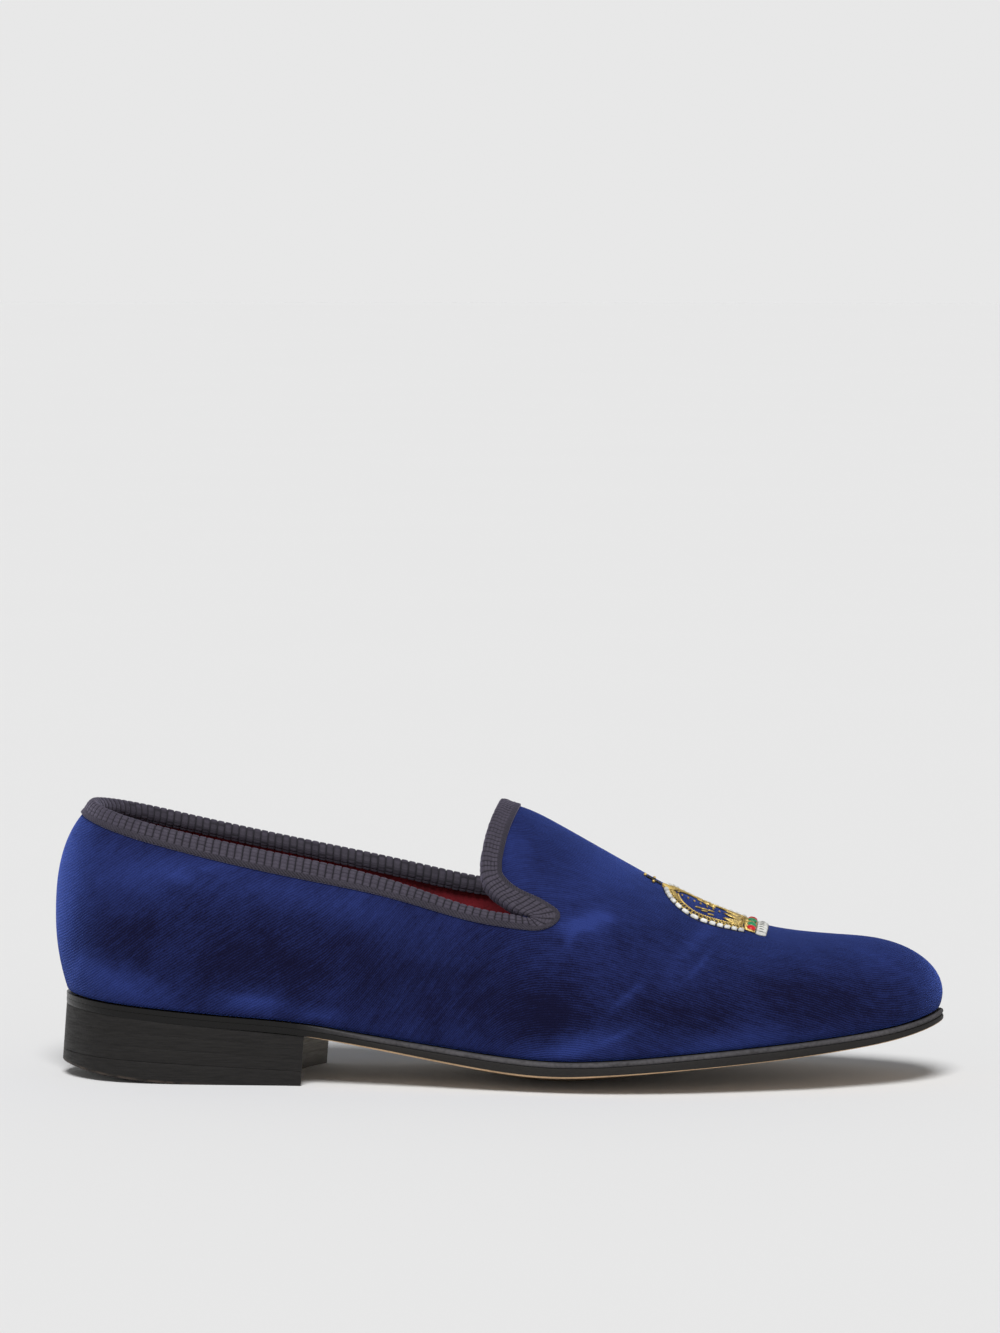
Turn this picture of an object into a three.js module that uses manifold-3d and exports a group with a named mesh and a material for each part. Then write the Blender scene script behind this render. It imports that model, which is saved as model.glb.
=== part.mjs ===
// Velvet slipper loafer, right shoe. Millimetres, +X to the toe, +Y to the medial side, +Z up.
// The shoe stands on its heel and on the ball of its sole, with the floor at zero height.
import * as THREE from 'three';
import { mergeVertices } from 'three/addons/utils/BufferGeometryUtils.js';
import Module from 'manifold-3d';

const wasm = await Module();
wasm.setup();

// Driving dimensions of the last
const LENGTH = 302; // back of the heel to the tip of the toe
const BALL_WIDTH = 95; // feather line to feather line at the ball
const SEAT_WIDTH = 64; // feather line to feather line at the heel seat
const INSTEP_HEIGHT = 93; // top of the last at the throat, above the floor
const TOE_HEIGHT = 48.4; // top of the last where the toe starts to round
const COUNTER_HEIGHT = 92; // cut edge of the upper at the back of the heel
const NOTCH_HEIGHT = 57.6; // cut edge of the upper at the throat's notches
const COUNTER_TUCK = 4.3; // how far the back of the heel stands out over its feather line
const WIDEST_RISE = 25; // feather line to the fullest line of the heel's back

// Driving dimensions of the sole
const HEEL_HEIGHT = 24.2; // floor to the underside of the sole at the back of the heel
const TOE_SPRING = 19.9; // floor to the underside of the sole at the tip of the toe
const SOLE_ROUND = 5.5; // rise of the sole's edge over the middle of the ball
const TREAD_FLAT = 0.7; // what the floor flattens of the rounded ball
const SOLE_THICKNESS = 3.1;
const WELT_THICKNESS = 1.5;
const WELT_LEDGE = 1.7; // how far the welt shows outside the upper
const WELT_INSIDE = 6; // how far the welt reaches under the upper and the insole
const EDGE_CHAMFER = 1.1; // bare leather bevel along the sole's lower edge
const EDGE_FADE = 30; // the bevel runs out over this length in front of the heel
const WELT_BEVEL = 0.6; // worn outer corner of the welt

// Driving dimensions of the heel
const BREAST_AT = 89; // back of the heel to the corner of its front face
const BREAST_HOLLOW = 8; // depth of the hollow front face
const BREAST_TURN = 3; // the medial corner stands this far in front of the lateral one
const HEEL_RAKE = 1.8; // how far the heel's bottom lies behind its top
const HEEL_TAPER = 3.4; // how much narrower the heel's bottom is than its top
const TOP_PIECE_FRONT = 5; // thickness of the top piece at the breast
const TOP_PIECE_BACK = 9.2; // joint of the top piece above the floor at the back
const HEEL_ROLL_START = 57; // the heel's underside leaves the floor behind this line
const HEEL_ROLL_RISE = 5.8; // and stands this high at the back
const LIFT_COUNT = 3;

// Driving dimensions of the upper and of what is inside
const WALL = 2;
const INSOLE_THICKNESS = 1.8;
const BINDING_THICKNESS = 0.9;
const BINDING_COLLAR = 4.4; // how far the ribbon reaches below the upper's cut edge
const BINDING_TONGUE = 6; // how far it reaches over the tongue
const BINDING_TIP = 8; // centre of the ribbon's turn in front of each notch
const BINDING_TIP_RADIUS = 3.4;
const CROWN_LENGTH = 42;
const CROWN_HALF_WIDTH = 14.5;
const CROWN_THICKNESS = 1.1;
const CROWN_CORD = 1.4; // half the width of its arches
const CROWN_BAND = 4.2; // half the width of its band
const CROWN_ORB = 2.3; // half the width of its orb
const CROWN_CROSS = 1.1; // half the width of its cross's bars
const CROWN_END = 243; // toe end of the crown, from the back of the heel
const CROWN_ACROSS = 0.5; // its middle line lies this far to the medial side
const CLEARANCE = 0.3;

// How finely the surfaces are divided
const SIDE_STEPS = 19;
const HEEL_STEPS = 12;
const TOE_STEPS = 12;
const LOWER_STEPS = 3;
const UPPER_STEPS = 9;
const OUTLINE_STEPS = 480;
const COLLAR_STEPS = 16;
const TONGUE_STEPS = 12;
const TIP_STEPS = 7;
const BREAST_STEPS = 8;
const TOP_SHARES = [0, 0.4, 0.75, 1];
const UNDER_SHARES = [1, 0.8, 0.6, 0.4, 0.2, 0];
const ROLL_STEPS = 8;
const STRAP_STEP = 2.6;
const MERGE_WITHIN = 1e-4;
const QUARTER_TURN = Math.PI / 2;

// Blocks that cut the last reach past its sides and over its top
const BLOCK_REACH = 0.65 * BALL_WIDTH;
const SKY = 1.6 * INSTEP_HEIGHT;
const BLOCK_TOP = 2 * HEEL_HEIGHT;
const ROOM_SINK = WIDEST_RISE / 2; // the foot's room is drawn on below the feather line
const ROLL_STRETCH = 1.1; // the heel's roll is drawn on past its back
const BREAST_GAP = 1; // the heel's outline leaves out what lies closer behind the breast's corner

// The two upright axes that the rounded heel and the rounded toe fan out from
const HEEL_AXIS_ALONG = 0.1146;
const TOE_AXIS_ALONG = 0.896;
const HEEL_AXIS = HEEL_AXIS_ALONG * LENGTH;
const TOE_AXIS = TOE_AXIS_ALONG * LENGTH;

// The ribbon's turn round each notch, from straight below it to above its front
const TIP_FROM = -Math.PI / 2;
const TIP_TO = Math.PI / 3;

// Feather line in plan: along is a share of the length, seat and ball are shares of those widths
const OUTLINE_ROWS = [
  { along: 0.0142, seat: 0, ball: 0 },
  { along: 0.0298, seat: -0.227, ball: 0 },
  { along: 0.0662, seat: -0.398, ball: 0 },
  { along: 0.1159, seat: -0.478, ball: 0 },
  { along: 0.1987, seat: -0.503, ball: 0 },
  { along: 0.2914, seat: -0.509, ball: 0 },
  { along: 0.3808, seat: -0.3, ball: -0.166 },
  { along: 0.4636, seat: -0.1, ball: -0.35 },
  { along: 0.5464, seat: 0, ball: -0.474 },
  { along: 0.6291, seat: 0, ball: -0.512 },
  { along: 0.7119, seat: 0, ball: -0.497 },
  { along: 0.7881, seat: 0, ball: -0.442 },
  { along: 0.8543, seat: 0, ball: -0.379 },
  { along: 0.9106, seat: 0, ball: -0.289 },
  { along: 0.9536, seat: 0, ball: -0.195 },
  { along: 0.9818, seat: 0, ball: -0.095 },
  { along: 0.9954, seat: 0, ball: 0.037 },
  { along: 0.9851, seat: 0, ball: 0.147 },
  { along: 0.96, seat: 0, ball: 0.237 },
  { along: 0.9139, seat: 0, ball: 0.332 },
  { along: 0.8477, seat: 0, ball: 0.416 },
  { along: 0.7781, seat: 0, ball: 0.467 },
  { along: 0.702, seat: 0, ball: 0.493 },
  { along: 0.6291, seat: 0, ball: 0.474 },
  { along: 0.5464, seat: 0, ball: 0.416 },
  { along: 0.4636, seat: 0.1, ball: 0.28 },
  { along: 0.3808, seat: 0.3, ball: 0.105 },
  { along: 0.2914, seat: 0.472, ball: 0 },
  { along: 0.1987, seat: 0.494, ball: 0 },
  { along: 0.1159, seat: 0.475, ball: 0 },
  { along: 0.0662, seat: 0.395, ball: 0 },
  { along: 0.0298, seat: 0.227, ball: 0 },
];

// Underside of the sole's edge from the side, as shares of the heel's height, the sole's
// round and the toe's spring, and the sole's thickness as a share of its full thickness
const SOLE_ROWS = [
  { along: -0.02, heel: 1.0355, round: 0, spring: 0, thick: 0.68 },
  { along: 0.0132, heel: 1, round: 0, spring: 0, thick: 0.68 },
  { along: 0.1159, heel: 0.8905, round: 0, spring: 0, thick: 0.68 },
  { along: 0.1987, heel: 0.802, round: 0, spring: 0, thick: 0.68 },
  { along: 0.2914, heel: 0.7025, round: 0, spring: 0, thick: 0.68 },
  { along: 0.3543, heel: 0.533, round: 0.2, spring: 0, thick: 0.72 },
  { along: 0.4007, heel: 0.384, round: 0.42, spring: 0, thick: 0.84 },
  { along: 0.447, heel: 0.24, round: 0.64, spring: 0, thick: 0.98 },
  { along: 0.4901, heel: 0.12, round: 0.82, spring: 0, thick: 1.08 },
  { along: 0.5364, heel: 0.025, round: 0.96, spring: 0, thick: 1.12 },
  { along: 0.5795, heel: 0, round: 1, spring: 0, thick: 1.08 },
  { along: 0.6225, heel: 0, round: 0.98, spring: 0.04, thick: 1 },
  { along: 0.7119, heel: 0, round: 0.84, spring: 0.19, thick: 0.97 },
  { along: 0.798, heel: 0, round: 0.66, spring: 0.352, thick: 0.95 },
  { along: 0.8874, heel: 0, round: 0.46, spring: 0.553, thick: 0.84 },
  { along: 0.9536, heel: 0, round: 0.24, spring: 0.759, thick: 0.7 },
  { along: 0.9967, heel: 0, round: 0, spring: 1, thick: 0.6 },
  { along: 1.02, heel: 0, round: 0, spring: 1.13, thick: 0.6 },
];

// Cross sections of the last: how high the fullest line lies over the feather line, as a share
// of the rise at the heel's back, how far it stands out over it, and how square the top is
const SECTION_ROWS = [
  { along: 0, rise: 1, tuck: 1, fullness: 2.52 },
  { along: HEEL_AXIS_ALONG, rise: 1, tuck: 0.82, fullness: 2.45 },
  { along: 0.2, rise: 0.92, tuck: 0.74, fullness: 2.35 },
  { along: 0.3, rise: 0.82, tuck: 0.62, fullness: 2.15 },
  { along: 0.4, rise: 0.7, tuck: 0.5, fullness: 1.98 },
  { along: 0.5, rise: 0.58, tuck: 0.42, fullness: 1.88 },
  { along: 0.58, rise: 0.48, tuck: 0.42, fullness: 1.86 },
  { along: 0.66, rise: 0.42, tuck: 0.46, fullness: 1.92 },
  { along: 0.75, rise: 0.38, tuck: 0.46, fullness: 2.06 },
  { along: 0.83, rise: 0.34, tuck: 0.44, fullness: 2.14 },
  { along: TOE_AXIS_ALONG, rise: 0.3, tuck: 0.42, fullness: 2.12 },
  { along: 0.95, rise: 0.26, tuck: 0.36, fullness: 2.04 },
  { along: 1, rise: 0.23, tuck: 0.33, fullness: 2 },
];

// Crest of the last from the side, as shares of the instep's and the toe's height, and its
// place across as a share of the ball's width. Behind the throat it is the open cone's top.
const CREST_ROWS = [
  { along: HEEL_AXIS_ALONG, instep: 1.058, toe: 0, across: 0 },
  { along: 0.2, instep: 1.033, toe: 0, across: -0.004 },
  { along: 0.3, instep: 1.013, toe: 0, across: -0.01 },
  { along: 0.4, instep: 1, toe: 0, across: -0.004 },
  { along: 0.47, instep: 1.003, toe: 0, across: 0.012 },
  { along: 0.5248, instep: 0.987, toe: 0, across: 0.024 },
  { along: 0.5702, instep: 0.918, toe: 0, across: 0.032 },
  { along: 0.6152, instep: 0.835, toe: 0, across: 0.038 },
  { along: 0.6603, instep: 0.752, toe: 0, across: 0.041 },
  { along: 0.7053, instep: 0.36, toe: 0.6, across: 0.042 },
  { along: 0.7503, instep: 0, toe: 1.167, across: 0.042 },
  { along: 0.7954, instep: 0, toe: 1.07, across: 0.041 },
  { along: 0.8401, instep: 0, toe: 1.023, across: 0.04 },
  { along: TOE_AXIS_ALONG, instep: 0, toe: 1, across: 0.036 },
];

// Cut edge of the collar from the side, as shares of the counter's and the notch's height,
// and what the medial side adds as a share of the notch's height
const COLLAR_ROWS = [
  { along: -0.04, counter: 1.1, notch: 0, medial: 0 },
  { along: 0.0232, counter: 1.024, notch: 0, medial: 0 },
  { along: 0.0464, counter: 1, notch: 0, medial: 0 },
  { along: 0.0934, counter: 0.957, notch: 0, medial: 0 },
  { along: 0.18, counter: 0.89, notch: 0, medial: 0 },
  { along: 0.2868, counter: 0.5, notch: 0.508, medial: 0.002 },
  { along: 0.399, counter: 0, notch: 1.168, medial: 0.022 },
  { along: 0.4891, counter: 0, notch: 1.036, medial: 0.05 },
  { along: 0.5411, counter: 0, notch: 1, medial: 0.055 },
];

// Cut edge of the tongue from the side, upwards: between is the share of the way from the
// notch to the top of the instep, and medial what that side adds to it
const TONGUE_ROWS = [
  { between: 0, along: 0.5411, medial: 0.055 },
  { between: 0.13, along: 0.523, medial: 0.05 },
  { between: 0.21, along: 0.5093, medial: 0.045 },
  { between: 0.285, along: 0.4985, medial: 0.04 },
  { between: 0.36, along: 0.4942, medial: 0.034 },
  { between: 0.45, along: 0.4921, medial: 0.028 },
  { between: 0.62, along: 0.4934, medial: 0.018 },
  { between: 0.78, along: 0.497, medial: 0.01 },
  { between: 0.92, along: 0.5023, medial: 0.004 },
  { between: 1.05, along: 0.509, medial: 0 },
  { between: 1.3, along: 0.524, medial: 0 },
];

// Crown of flat cords. Up is a share of its length from the toe end, and side of its half width.
const CROWN_ARCH = [
  { up: 0.2, side: 0.8 },
  { up: 0.36, side: 0.97 },
  { up: 0.53, side: 1 },
  { up: 0.67, side: 0.82 },
  { up: 0.755, side: 0.45 },
  { up: 0.74, side: 0 },
];
const CROWN_STRAPS = [
  { path: [[0.1, -0.86], [0.085, 0], [0.1, 0.86]], half: CROWN_BAND },
  { path: [[0.15, 0], [0.78, 0]], half: CROWN_CORD },
  { path: [[0.73, 0], [0.85, 0]], half: CROWN_ORB },
  { path: [[0.82, 0], [1, 0]], half: CROWN_CROSS },
  { path: [[0.92, -0.2], [0.92, 0.2]], half: CROWN_CROSS },
];

// Cross section of a flat cord: side and height of each corner, as shares of its half width and
// its thickness
const CORD_CORNERS = [[-1, 0], [-1, 1], [1, 1], [1, 0]];

// A smooth curve through a table's rows: a natural cubic spline of one column over another
function curveThrough(rows, over, column) {
  const at = rows.map((row) => row[over]);
  const values = rows.map((row) => row[column]);
  const last = at.length - 1;
  const bend = new Array(last + 1).fill(0);
  const carry = new Array(last + 1).fill(0);
  for (let i = 1; i < last; i += 1) {
    const before = at[i] - at[i - 1];
    const after = at[i + 1] - at[i];
    const turn = (values[i + 1] - values[i]) / after - (values[i] - values[i - 1]) / before;
    const weight = 2 * (before + after) - before * carry[i - 1];
    carry[i] = after / weight;
    bend[i] = (6 * turn - before * bend[i - 1]) / weight;
  }
  for (let i = last - 1; i > 0; i -= 1) {
    bend[i] -= carry[i] * bend[i + 1];
  }
  return (place) => {
    const inside = THREE.MathUtils.clamp(place, at[0], at[last]);
    let i = 0;
    while (i < last - 1 && inside > at[i + 1]) {
      i += 1;
    }
    const step = at[i + 1] - at[i];
    const right = (inside - at[i]) / step;
    const left = 1 - right;
    const sag = ((left ** 3 - left) * bend[i] + (right ** 3 - right) * bend[i + 1]) * step ** 2 / 6;
    return left * values[i] + right * values[i + 1] + sag;
  };
}

const heelShare = curveThrough(SOLE_ROWS, 'along', 'heel');
const roundShare = curveThrough(SOLE_ROWS, 'along', 'round');
const springShare = curveThrough(SOLE_ROWS, 'along', 'spring');
const thickShare = curveThrough(SOLE_ROWS, 'along', 'thick');
const riseShare = curveThrough(SECTION_ROWS, 'along', 'rise');
const tuckShare = curveThrough(SECTION_ROWS, 'along', 'tuck');
const fullnessAt = curveThrough(SECTION_ROWS, 'along', 'fullness');
const instepShare = curveThrough(CREST_ROWS, 'along', 'instep');
const toeShare = curveThrough(CREST_ROWS, 'along', 'toe');
const crestAcross = curveThrough(CREST_ROWS, 'along', 'across');
const counterShare = curveThrough(COLLAR_ROWS, 'along', 'counter');
const notchShare = curveThrough(COLLAR_ROWS, 'along', 'notch');
const collarMedial = curveThrough(COLLAR_ROWS, 'along', 'medial');
const tongueAlong = curveThrough(TONGUE_ROWS, 'between', 'along');
const tongueMedial = curveThrough(TONGUE_ROWS, 'between', 'medial');

// Underside of the sole's edge, and its underside at a share of the way out from the middle
const soleEdge = (x) => heelShare(x / LENGTH) * HEEL_HEIGHT + roundShare(x / LENGTH) * SOLE_ROUND
  + springShare(x / LENGTH) * TOE_SPRING;
const soleUnder = (x, share) => {
  const hollow = roundShare(x / LENGTH) * (SOLE_ROUND + TREAD_FLAT) * (1 - share ** 2);
  return Math.max(0, soleEdge(x) - Math.max(0, hollow));
};
const soleTop = (x) => soleEdge(x) + thickShare(x / LENGTH) * SOLE_THICKNESS;
const weltTop = (x) => soleTop(x) + CLEARANCE + WELT_THICKNESS;
const featherHeight = (x) => weltTop(x) + CLEARANCE;
const crestHeight = (x) => instepShare(x / LENGTH) * INSTEP_HEIGHT + toeShare(x / LENGTH) * TOE_HEIGHT;

// Feather line as a closed curve in plan
const outline = new THREE.CatmullRomCurve3(
  OUTLINE_ROWS.map((row) => new THREE.Vector3(
    row.along * LENGTH,
    row.seat * SEAT_WIDTH + row.ball * BALL_WIDTH,
    0,
  )),
  true,
  'centripetal',
).getPoints(OUTLINE_STEPS);

// Where a level line from the last's middle, in a given direction, meets the feather line
function featherFrom(middle, direction) {
  const side = (point) => direction.x * (point.y - middle.y) - direction.y * (point.x - middle.x);
  for (let i = 0; i < OUTLINE_STEPS; i += 1) {
    const from = side(outline[i]);
    const to = side(outline[i + 1]);
    const hit = outline[i].clone().lerp(outline[i + 1], from / (from - to || 1));
    const reach = hit.sub(middle).dot(direction);
    if (from * to <= 0 && from !== to && reach > 0) {
      return reach;
    }
  }
  throw new Error('the outline has a gap');
}

// One half section of the last: its foot on the middle line, its direction and its reach
function station(x, angle) {
  const middle = new THREE.Vector3(x, crestAcross(x / LENGTH) * BALL_WIDTH, 0);
  const direction = new THREE.Vector3(Math.cos(angle), Math.sin(angle), 0);
  return { middle, direction, reach: featherFrom(middle, direction) };
}

// All half sections in turn: lateral side, round the toe, medial side, round the heel
function allStations() {
  const list = [];
  for (let i = 0; i < SIDE_STEPS; i += 1) {
    list.push(station(THREE.MathUtils.lerp(HEEL_AXIS, TOE_AXIS, i / SIDE_STEPS), -QUARTER_TURN));
  }
  for (let i = 0; i < TOE_STEPS; i += 1) {
    list.push(station(TOE_AXIS, -QUARTER_TURN + Math.PI * i / TOE_STEPS));
  }
  for (let i = 0; i < SIDE_STEPS; i += 1) {
    list.push(station(THREE.MathUtils.lerp(TOE_AXIS, HEEL_AXIS, i / SIDE_STEPS), QUARTER_TURN));
  }
  for (let i = 0; i < HEEL_STEPS; i += 1) {
    list.push(station(HEEL_AXIS, QUARTER_TURN + Math.PI * i / HEEL_STEPS));
  }
  return list;
}
const STATIONS = allStations();

// The point of a station at a given distance out from the middle and a given height
function pointAt(place, distance, height) {
  const point = place.middle.clone().addScaledVector(place.direction, distance);
  point.z = height;
  return point;
}

// Sizes of a half section: the last grown or shrunk by a thickness
function sectionOf(place, growth) {
  const x = place.middle.x + place.direction.x * place.reach;
  const foot = featherHeight(x);
  const rise = riseShare(x / LENGTH) * WIDEST_RISE;
  const tuck = tuckShare(x / LENGTH) * COUNTER_TUCK;
  const crest = crestHeight(place.middle.x) + growth;
  return { foot, rise, tuck, reach: place.reach + growth, crest, fullness: fullnessAt(x / LENGTH) };
}

// Half section upwards: a wall that swells out to its fullest line, then a quarter superellipse
function skinProfile(place, growth) {
  const section = sectionOf(place, growth);
  const points = [];
  for (let i = 0; i < LOWER_STEPS; i += 1) {
    const share = i / LOWER_STEPS;
    const swell = section.tuck * (1 - (1 - share) ** 2);
    points.push(pointAt(place, section.reach + swell, section.foot + section.rise * share));
  }
  const wide = section.reach + section.tuck;
  const low = section.foot + section.rise;
  for (let i = 0; i <= UPPER_STEPS; i += 1) {
    const angle = QUARTER_TURN * i / UPPER_STEPS;
    const flat = i === UPPER_STEPS ? 0 : Math.cos(angle);
    const steep = Math.sin(angle);
    const scale = (flat ** section.fullness + steep ** section.fullness) ** (-1 / section.fullness);
    points.push(pointAt(place, wide * flat * scale, low + (section.crest - low) * steep * scale));
  }
  return points;
}

// A closed mesh from triangles: shared corners merged, slivers dropped, faces turned outwards
function closedMesh(corners) {
  const loose = new THREE.BufferGeometry();
  loose.setAttribute('position', new THREE.Float32BufferAttribute(corners.flatMap((p) => p.toArray()), 3));
  const merged = mergeVertices(loose, MERGE_WITHIN);
  const places = merged.getAttribute('position');
  const index = merged.getIndex().array;
  const kept = [];
  let volume = 0;
  for (let i = 0; i < index.length; i += 3) {
    const [a, b, c] = [index[i], index[i + 1], index[i + 2]];
    if (a !== b && b !== c && c !== a) {
      kept.push(a, b, c);
      const [p, q, r] = [a, b, c].map((k) => new THREE.Vector3().fromBufferAttribute(places, k));
      volume += p.dot(q.cross(r));
    }
  }
  merged.setIndex(volume < 0 ? kept.reverse() : kept);
  return merged;
}

// The two triangles of a four-cornered face
const face = (a, b, c, d) => [a, b, c, a, c, d];

// A skin over profiles that follow each other in a ring; each profile is open, with both ends
// on the middle line, or is itself a closed ring
function skinOver(profiles, closed) {
  const corners = [];
  for (let i = 0; i < profiles.length; i += 1) {
    const here = profiles[i];
    const next = profiles[(i + 1) % profiles.length];
    const count = closed ? here.length : here.length - 1;
    for (let j = 0; j < count; j += 1) {
      const k = (j + 1) % here.length;
      corners.push(...face(here[j], next[j], next[k], here[k]));
    }
  }
  return closedMesh(corners);
}

// Meshes to boolean solids and back
function solid(geometry) {
  const mesh = new wasm.Mesh({
    numProp: 3,
    vertProperties: new Float32Array(geometry.getAttribute('position').array),
    triVerts: new Uint32Array(geometry.getIndex().array),
  });
  return new wasm.Manifold(mesh);
}

function geometryOf(body) {
  const mesh = body.getMesh();
  const geometry = new THREE.BufferGeometry();
  geometry.setAttribute('position', new THREE.Float32BufferAttribute(mesh.vertProperties, 3));
  geometry.setIndex([...mesh.triVerts]);
  return geometry;
}

// The last as a closed form, grown by a thickness, with its underside sunk below the feather line
function lastForm(growth, sink) {
  const profiles = STATIONS.map((place) => {
    const skin = skinProfile(place, growth);
    const foot = skin[0].clone();
    foot.z -= sink;
    const under = pointAt(place, 0, featherHeight(place.middle.x) - sink);
    return sink > 0 ? [under, foot, ...skin] : [under, ...skin];
  });
  return solid(skinOver(profiles, false));
}

// A block whose outline is drawn from the side and runs straight across the shoe. Each point
// says how much higher it is on the medial side.
function acrossBlock(rows) {
  const edge = (y) => rows.map((row) => {
    const height = row.z + (row.medial ?? 0) * (0.5 + y / SEAT_WIDTH);
    return new THREE.Vector3(row.x, y, height);
  });
  const lateral = edge(-BLOCK_REACH);
  const medial = edge(BLOCK_REACH);
  const flat = rows.map((row) => new THREE.Vector2(row.x, row.z));
  const corners = [];
  THREE.ShapeUtils.triangulateShape(flat, []).forEach(([a, b, c]) => {
    corners.push(lateral[a], lateral[b], lateral[c], medial[c], medial[b], medial[a]);
  });
  rows.forEach((row, i) => {
    const k = (i + 1) % rows.length;
    corners.push(...face(lateral[i], medial[i], medial[k], lateral[k]));
  });
  return solid(closedMesh(corners));
}

// A side-view line moved square to itself, to its right when it is followed
function movedAside(line, distance) {
  return line.map((row, i) => {
    const before = line[Math.max(0, i - 1)];
    const after = line[Math.min(line.length - 1, i + 1)];
    const run = Math.hypot(after.x - before.x, after.z - before.z);
    const x = row.x + distance * (after.z - before.z) / run;
    const z = row.z - distance * (after.x - before.x) / run;
    return { x, z, medial: row.medial };
  });
}

// The upper's cut edge from the side: along the collar to the notch, and from there up the tongue
const COLLAR_LINE = Array.from({ length: COLLAR_STEPS + 1 }, (_, i) => {
  const along = THREE.MathUtils.lerp(COLLAR_ROWS[0].along, COLLAR_ROWS.at(-1).along, i / COLLAR_STEPS);
  const z = counterShare(along) * COUNTER_HEIGHT + notchShare(along) * NOTCH_HEIGHT;
  return { x: along * LENGTH, z, medial: collarMedial(along) * NOTCH_HEIGHT };
});
const TONGUE_LINE = Array.from({ length: TONGUE_STEPS + 1 }, (_, i) => {
  const between = TONGUE_ROWS.at(-1).between * i / TONGUE_STEPS;
  const z = THREE.MathUtils.lerp(NOTCH_HEIGHT, INSTEP_HEIGHT, between);
  return { x: tongueAlong(between) * LENGTH, z, medial: tongueMedial(between) * NOTCH_HEIGHT };
});
const NOTCH = TONGUE_LINE[0];

// Everything above the collar's line, and everything behind the tongue's, moved by a margin
function aboveCollar(margin) {
  const line = movedAside(COLLAR_LINE, margin);
  const front = { ...line.at(-1), x: LENGTH };
  return acrossBlock([...line, front, { x: LENGTH, z: SKY }, { x: line[0].x, z: SKY }]);
}

function behindTongue(margin) {
  const line = movedAside(TONGUE_LINE, margin);
  const foot = { ...line[0], z: 0 };
  const top = { ...line.at(-1), z: SKY };
  return acrossBlock([foot, ...line, top, { x: -BLOCK_REACH, z: SKY }, { x: -BLOCK_REACH, z: 0 }]);
}

// The opening drawn in from the upper's cut edge
const opening = (drawn) => aboveCollar(-drawn).intersect(behindTongue(-drawn));

// What the ribbon covers from the side: a strip along each edge and a rounded tip at the notch
function ribbonReach() {
  const above = movedAside(TONGUE_LINE, BINDING_TONGUE)[0];
  const tip = [];
  for (let i = 0; i <= TIP_STEPS; i += 1) {
    const angle = THREE.MathUtils.lerp(TIP_FROM, TIP_TO, i / TIP_STEPS);
    const x = NOTCH.x + BINDING_TIP + BINDING_TIP_RADIUS * Math.cos(angle);
    tip.push({ x, z: NOTCH.z + BINDING_TIP_RADIUS * Math.sin(angle), medial: NOTCH.medial });
  }
  const below = { ...NOTCH, z: NOTCH.z - BINDING_COLLAR };
  const back = { ...NOTCH, x: NOTCH.x - BINDING_TIP_RADIUS };
  const corner = acrossBlock([back, below, ...tip, above]);
  const along = aboveCollar(BINDING_COLLAR).intersect(behindTongue(0));
  const over = behindTongue(BINDING_TONGUE).intersect(aboveCollar(0));
  return along.add(over).add(corner);
}

// Hollow upper: the last's skin less the foot's room and the opening
function upper() {
  const room = lastForm(-WALL, ROOM_SINK);
  return lastForm(0, 0).subtract(room).subtract(opening(0));
}

// Folded ribbon along the opening's edge, clear of the upper on both sides
function topline() {
  const fold = CLEARANCE + BINDING_THICKNESS;
  const shell = lastForm(fold, 0).subtract(lastForm(-WALL - fold, ROOM_SINK));
  const slot = lastForm(CLEARANCE, 0).subtract(lastForm(-WALL - CLEARANCE, ROOM_SINK));
  const band = ribbonReach().subtract(opening(fold));
  return shell.intersect(band).subtract(slot.subtract(opening(CLEARANCE)));
}

// A point of the sole's layers: its height follows its own place along the shoe
function layerPoint(place, distance, heightAt, share) {
  const point = pointAt(place, distance, 0);
  point.z = heightAt(point.x, share);
  return point;
}

// Outsole: level top, upright edge, bare bevel and rounded underside
function outsole() {
  const profiles = STATIONS.map((place) => {
    const edge = place.reach + WELT_LEDGE;
    const rim = pointAt(place, edge, 0);
    const bevel = EDGE_CHAMFER * THREE.MathUtils.smoothstep(rim.x, BREAST_AT, BREAST_AT + EDGE_FADE);
    const under = UNDER_SHARES.map((share) => {
      return layerPoint(place, (edge - bevel) * share, soleUnder, share);
    });
    const corner = pointAt(place, edge, soleEdge(rim.x) + bevel);
    const top = TOP_SHARES.map((share) => layerPoint(place, edge * share, soleTop));
    return [...top, corner, ...under];
  });
  return skinOver(profiles, false);
}

// Welt: a strip all round between the outsole and the upper, with a worn outer corner
function welt() {
  const profiles = STATIONS.map((place) => {
    const inside = place.reach - WELT_INSIDE;
    const outside = place.reach + WELT_LEDGE;
    const shoulder = outside - WELT_BEVEL;
    const low = (x) => soleTop(x) + CLEARANCE;
    return [
      layerPoint(place, inside, low),
      layerPoint(place, outside, low),
      layerPoint(place, outside, (x) => weltTop(x) - WELT_BEVEL),
      layerPoint(place, shoulder, weltTop),
      layerPoint(place, inside, weltTop),
    ];
  });
  return skinOver(profiles, true);
}

// Insole: its rib fills the welt's ring and its rim lies on the welt
function insole() {
  const profiles = STATIONS.map((place) => {
    const rib = place.reach - WELT_INSIDE - CLEARANCE;
    const rim = place.reach - WALL - CLEARANCE;
    const low = (x) => soleTop(x) + CLEARANCE;
    const top = (x) => featherHeight(x) + INSOLE_THICKNESS;
    return [
      ...TOP_SHARES.map((share) => layerPoint(place, rim * share, top)),
      layerPoint(place, rim, featherHeight),
      layerPoint(place, rib, featherHeight),
      ...TOP_SHARES.map((share) => layerPoint(place, rib * share, low)).reverse(),
    ];
  });
  return skinOver(profiles, false);
}

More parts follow.
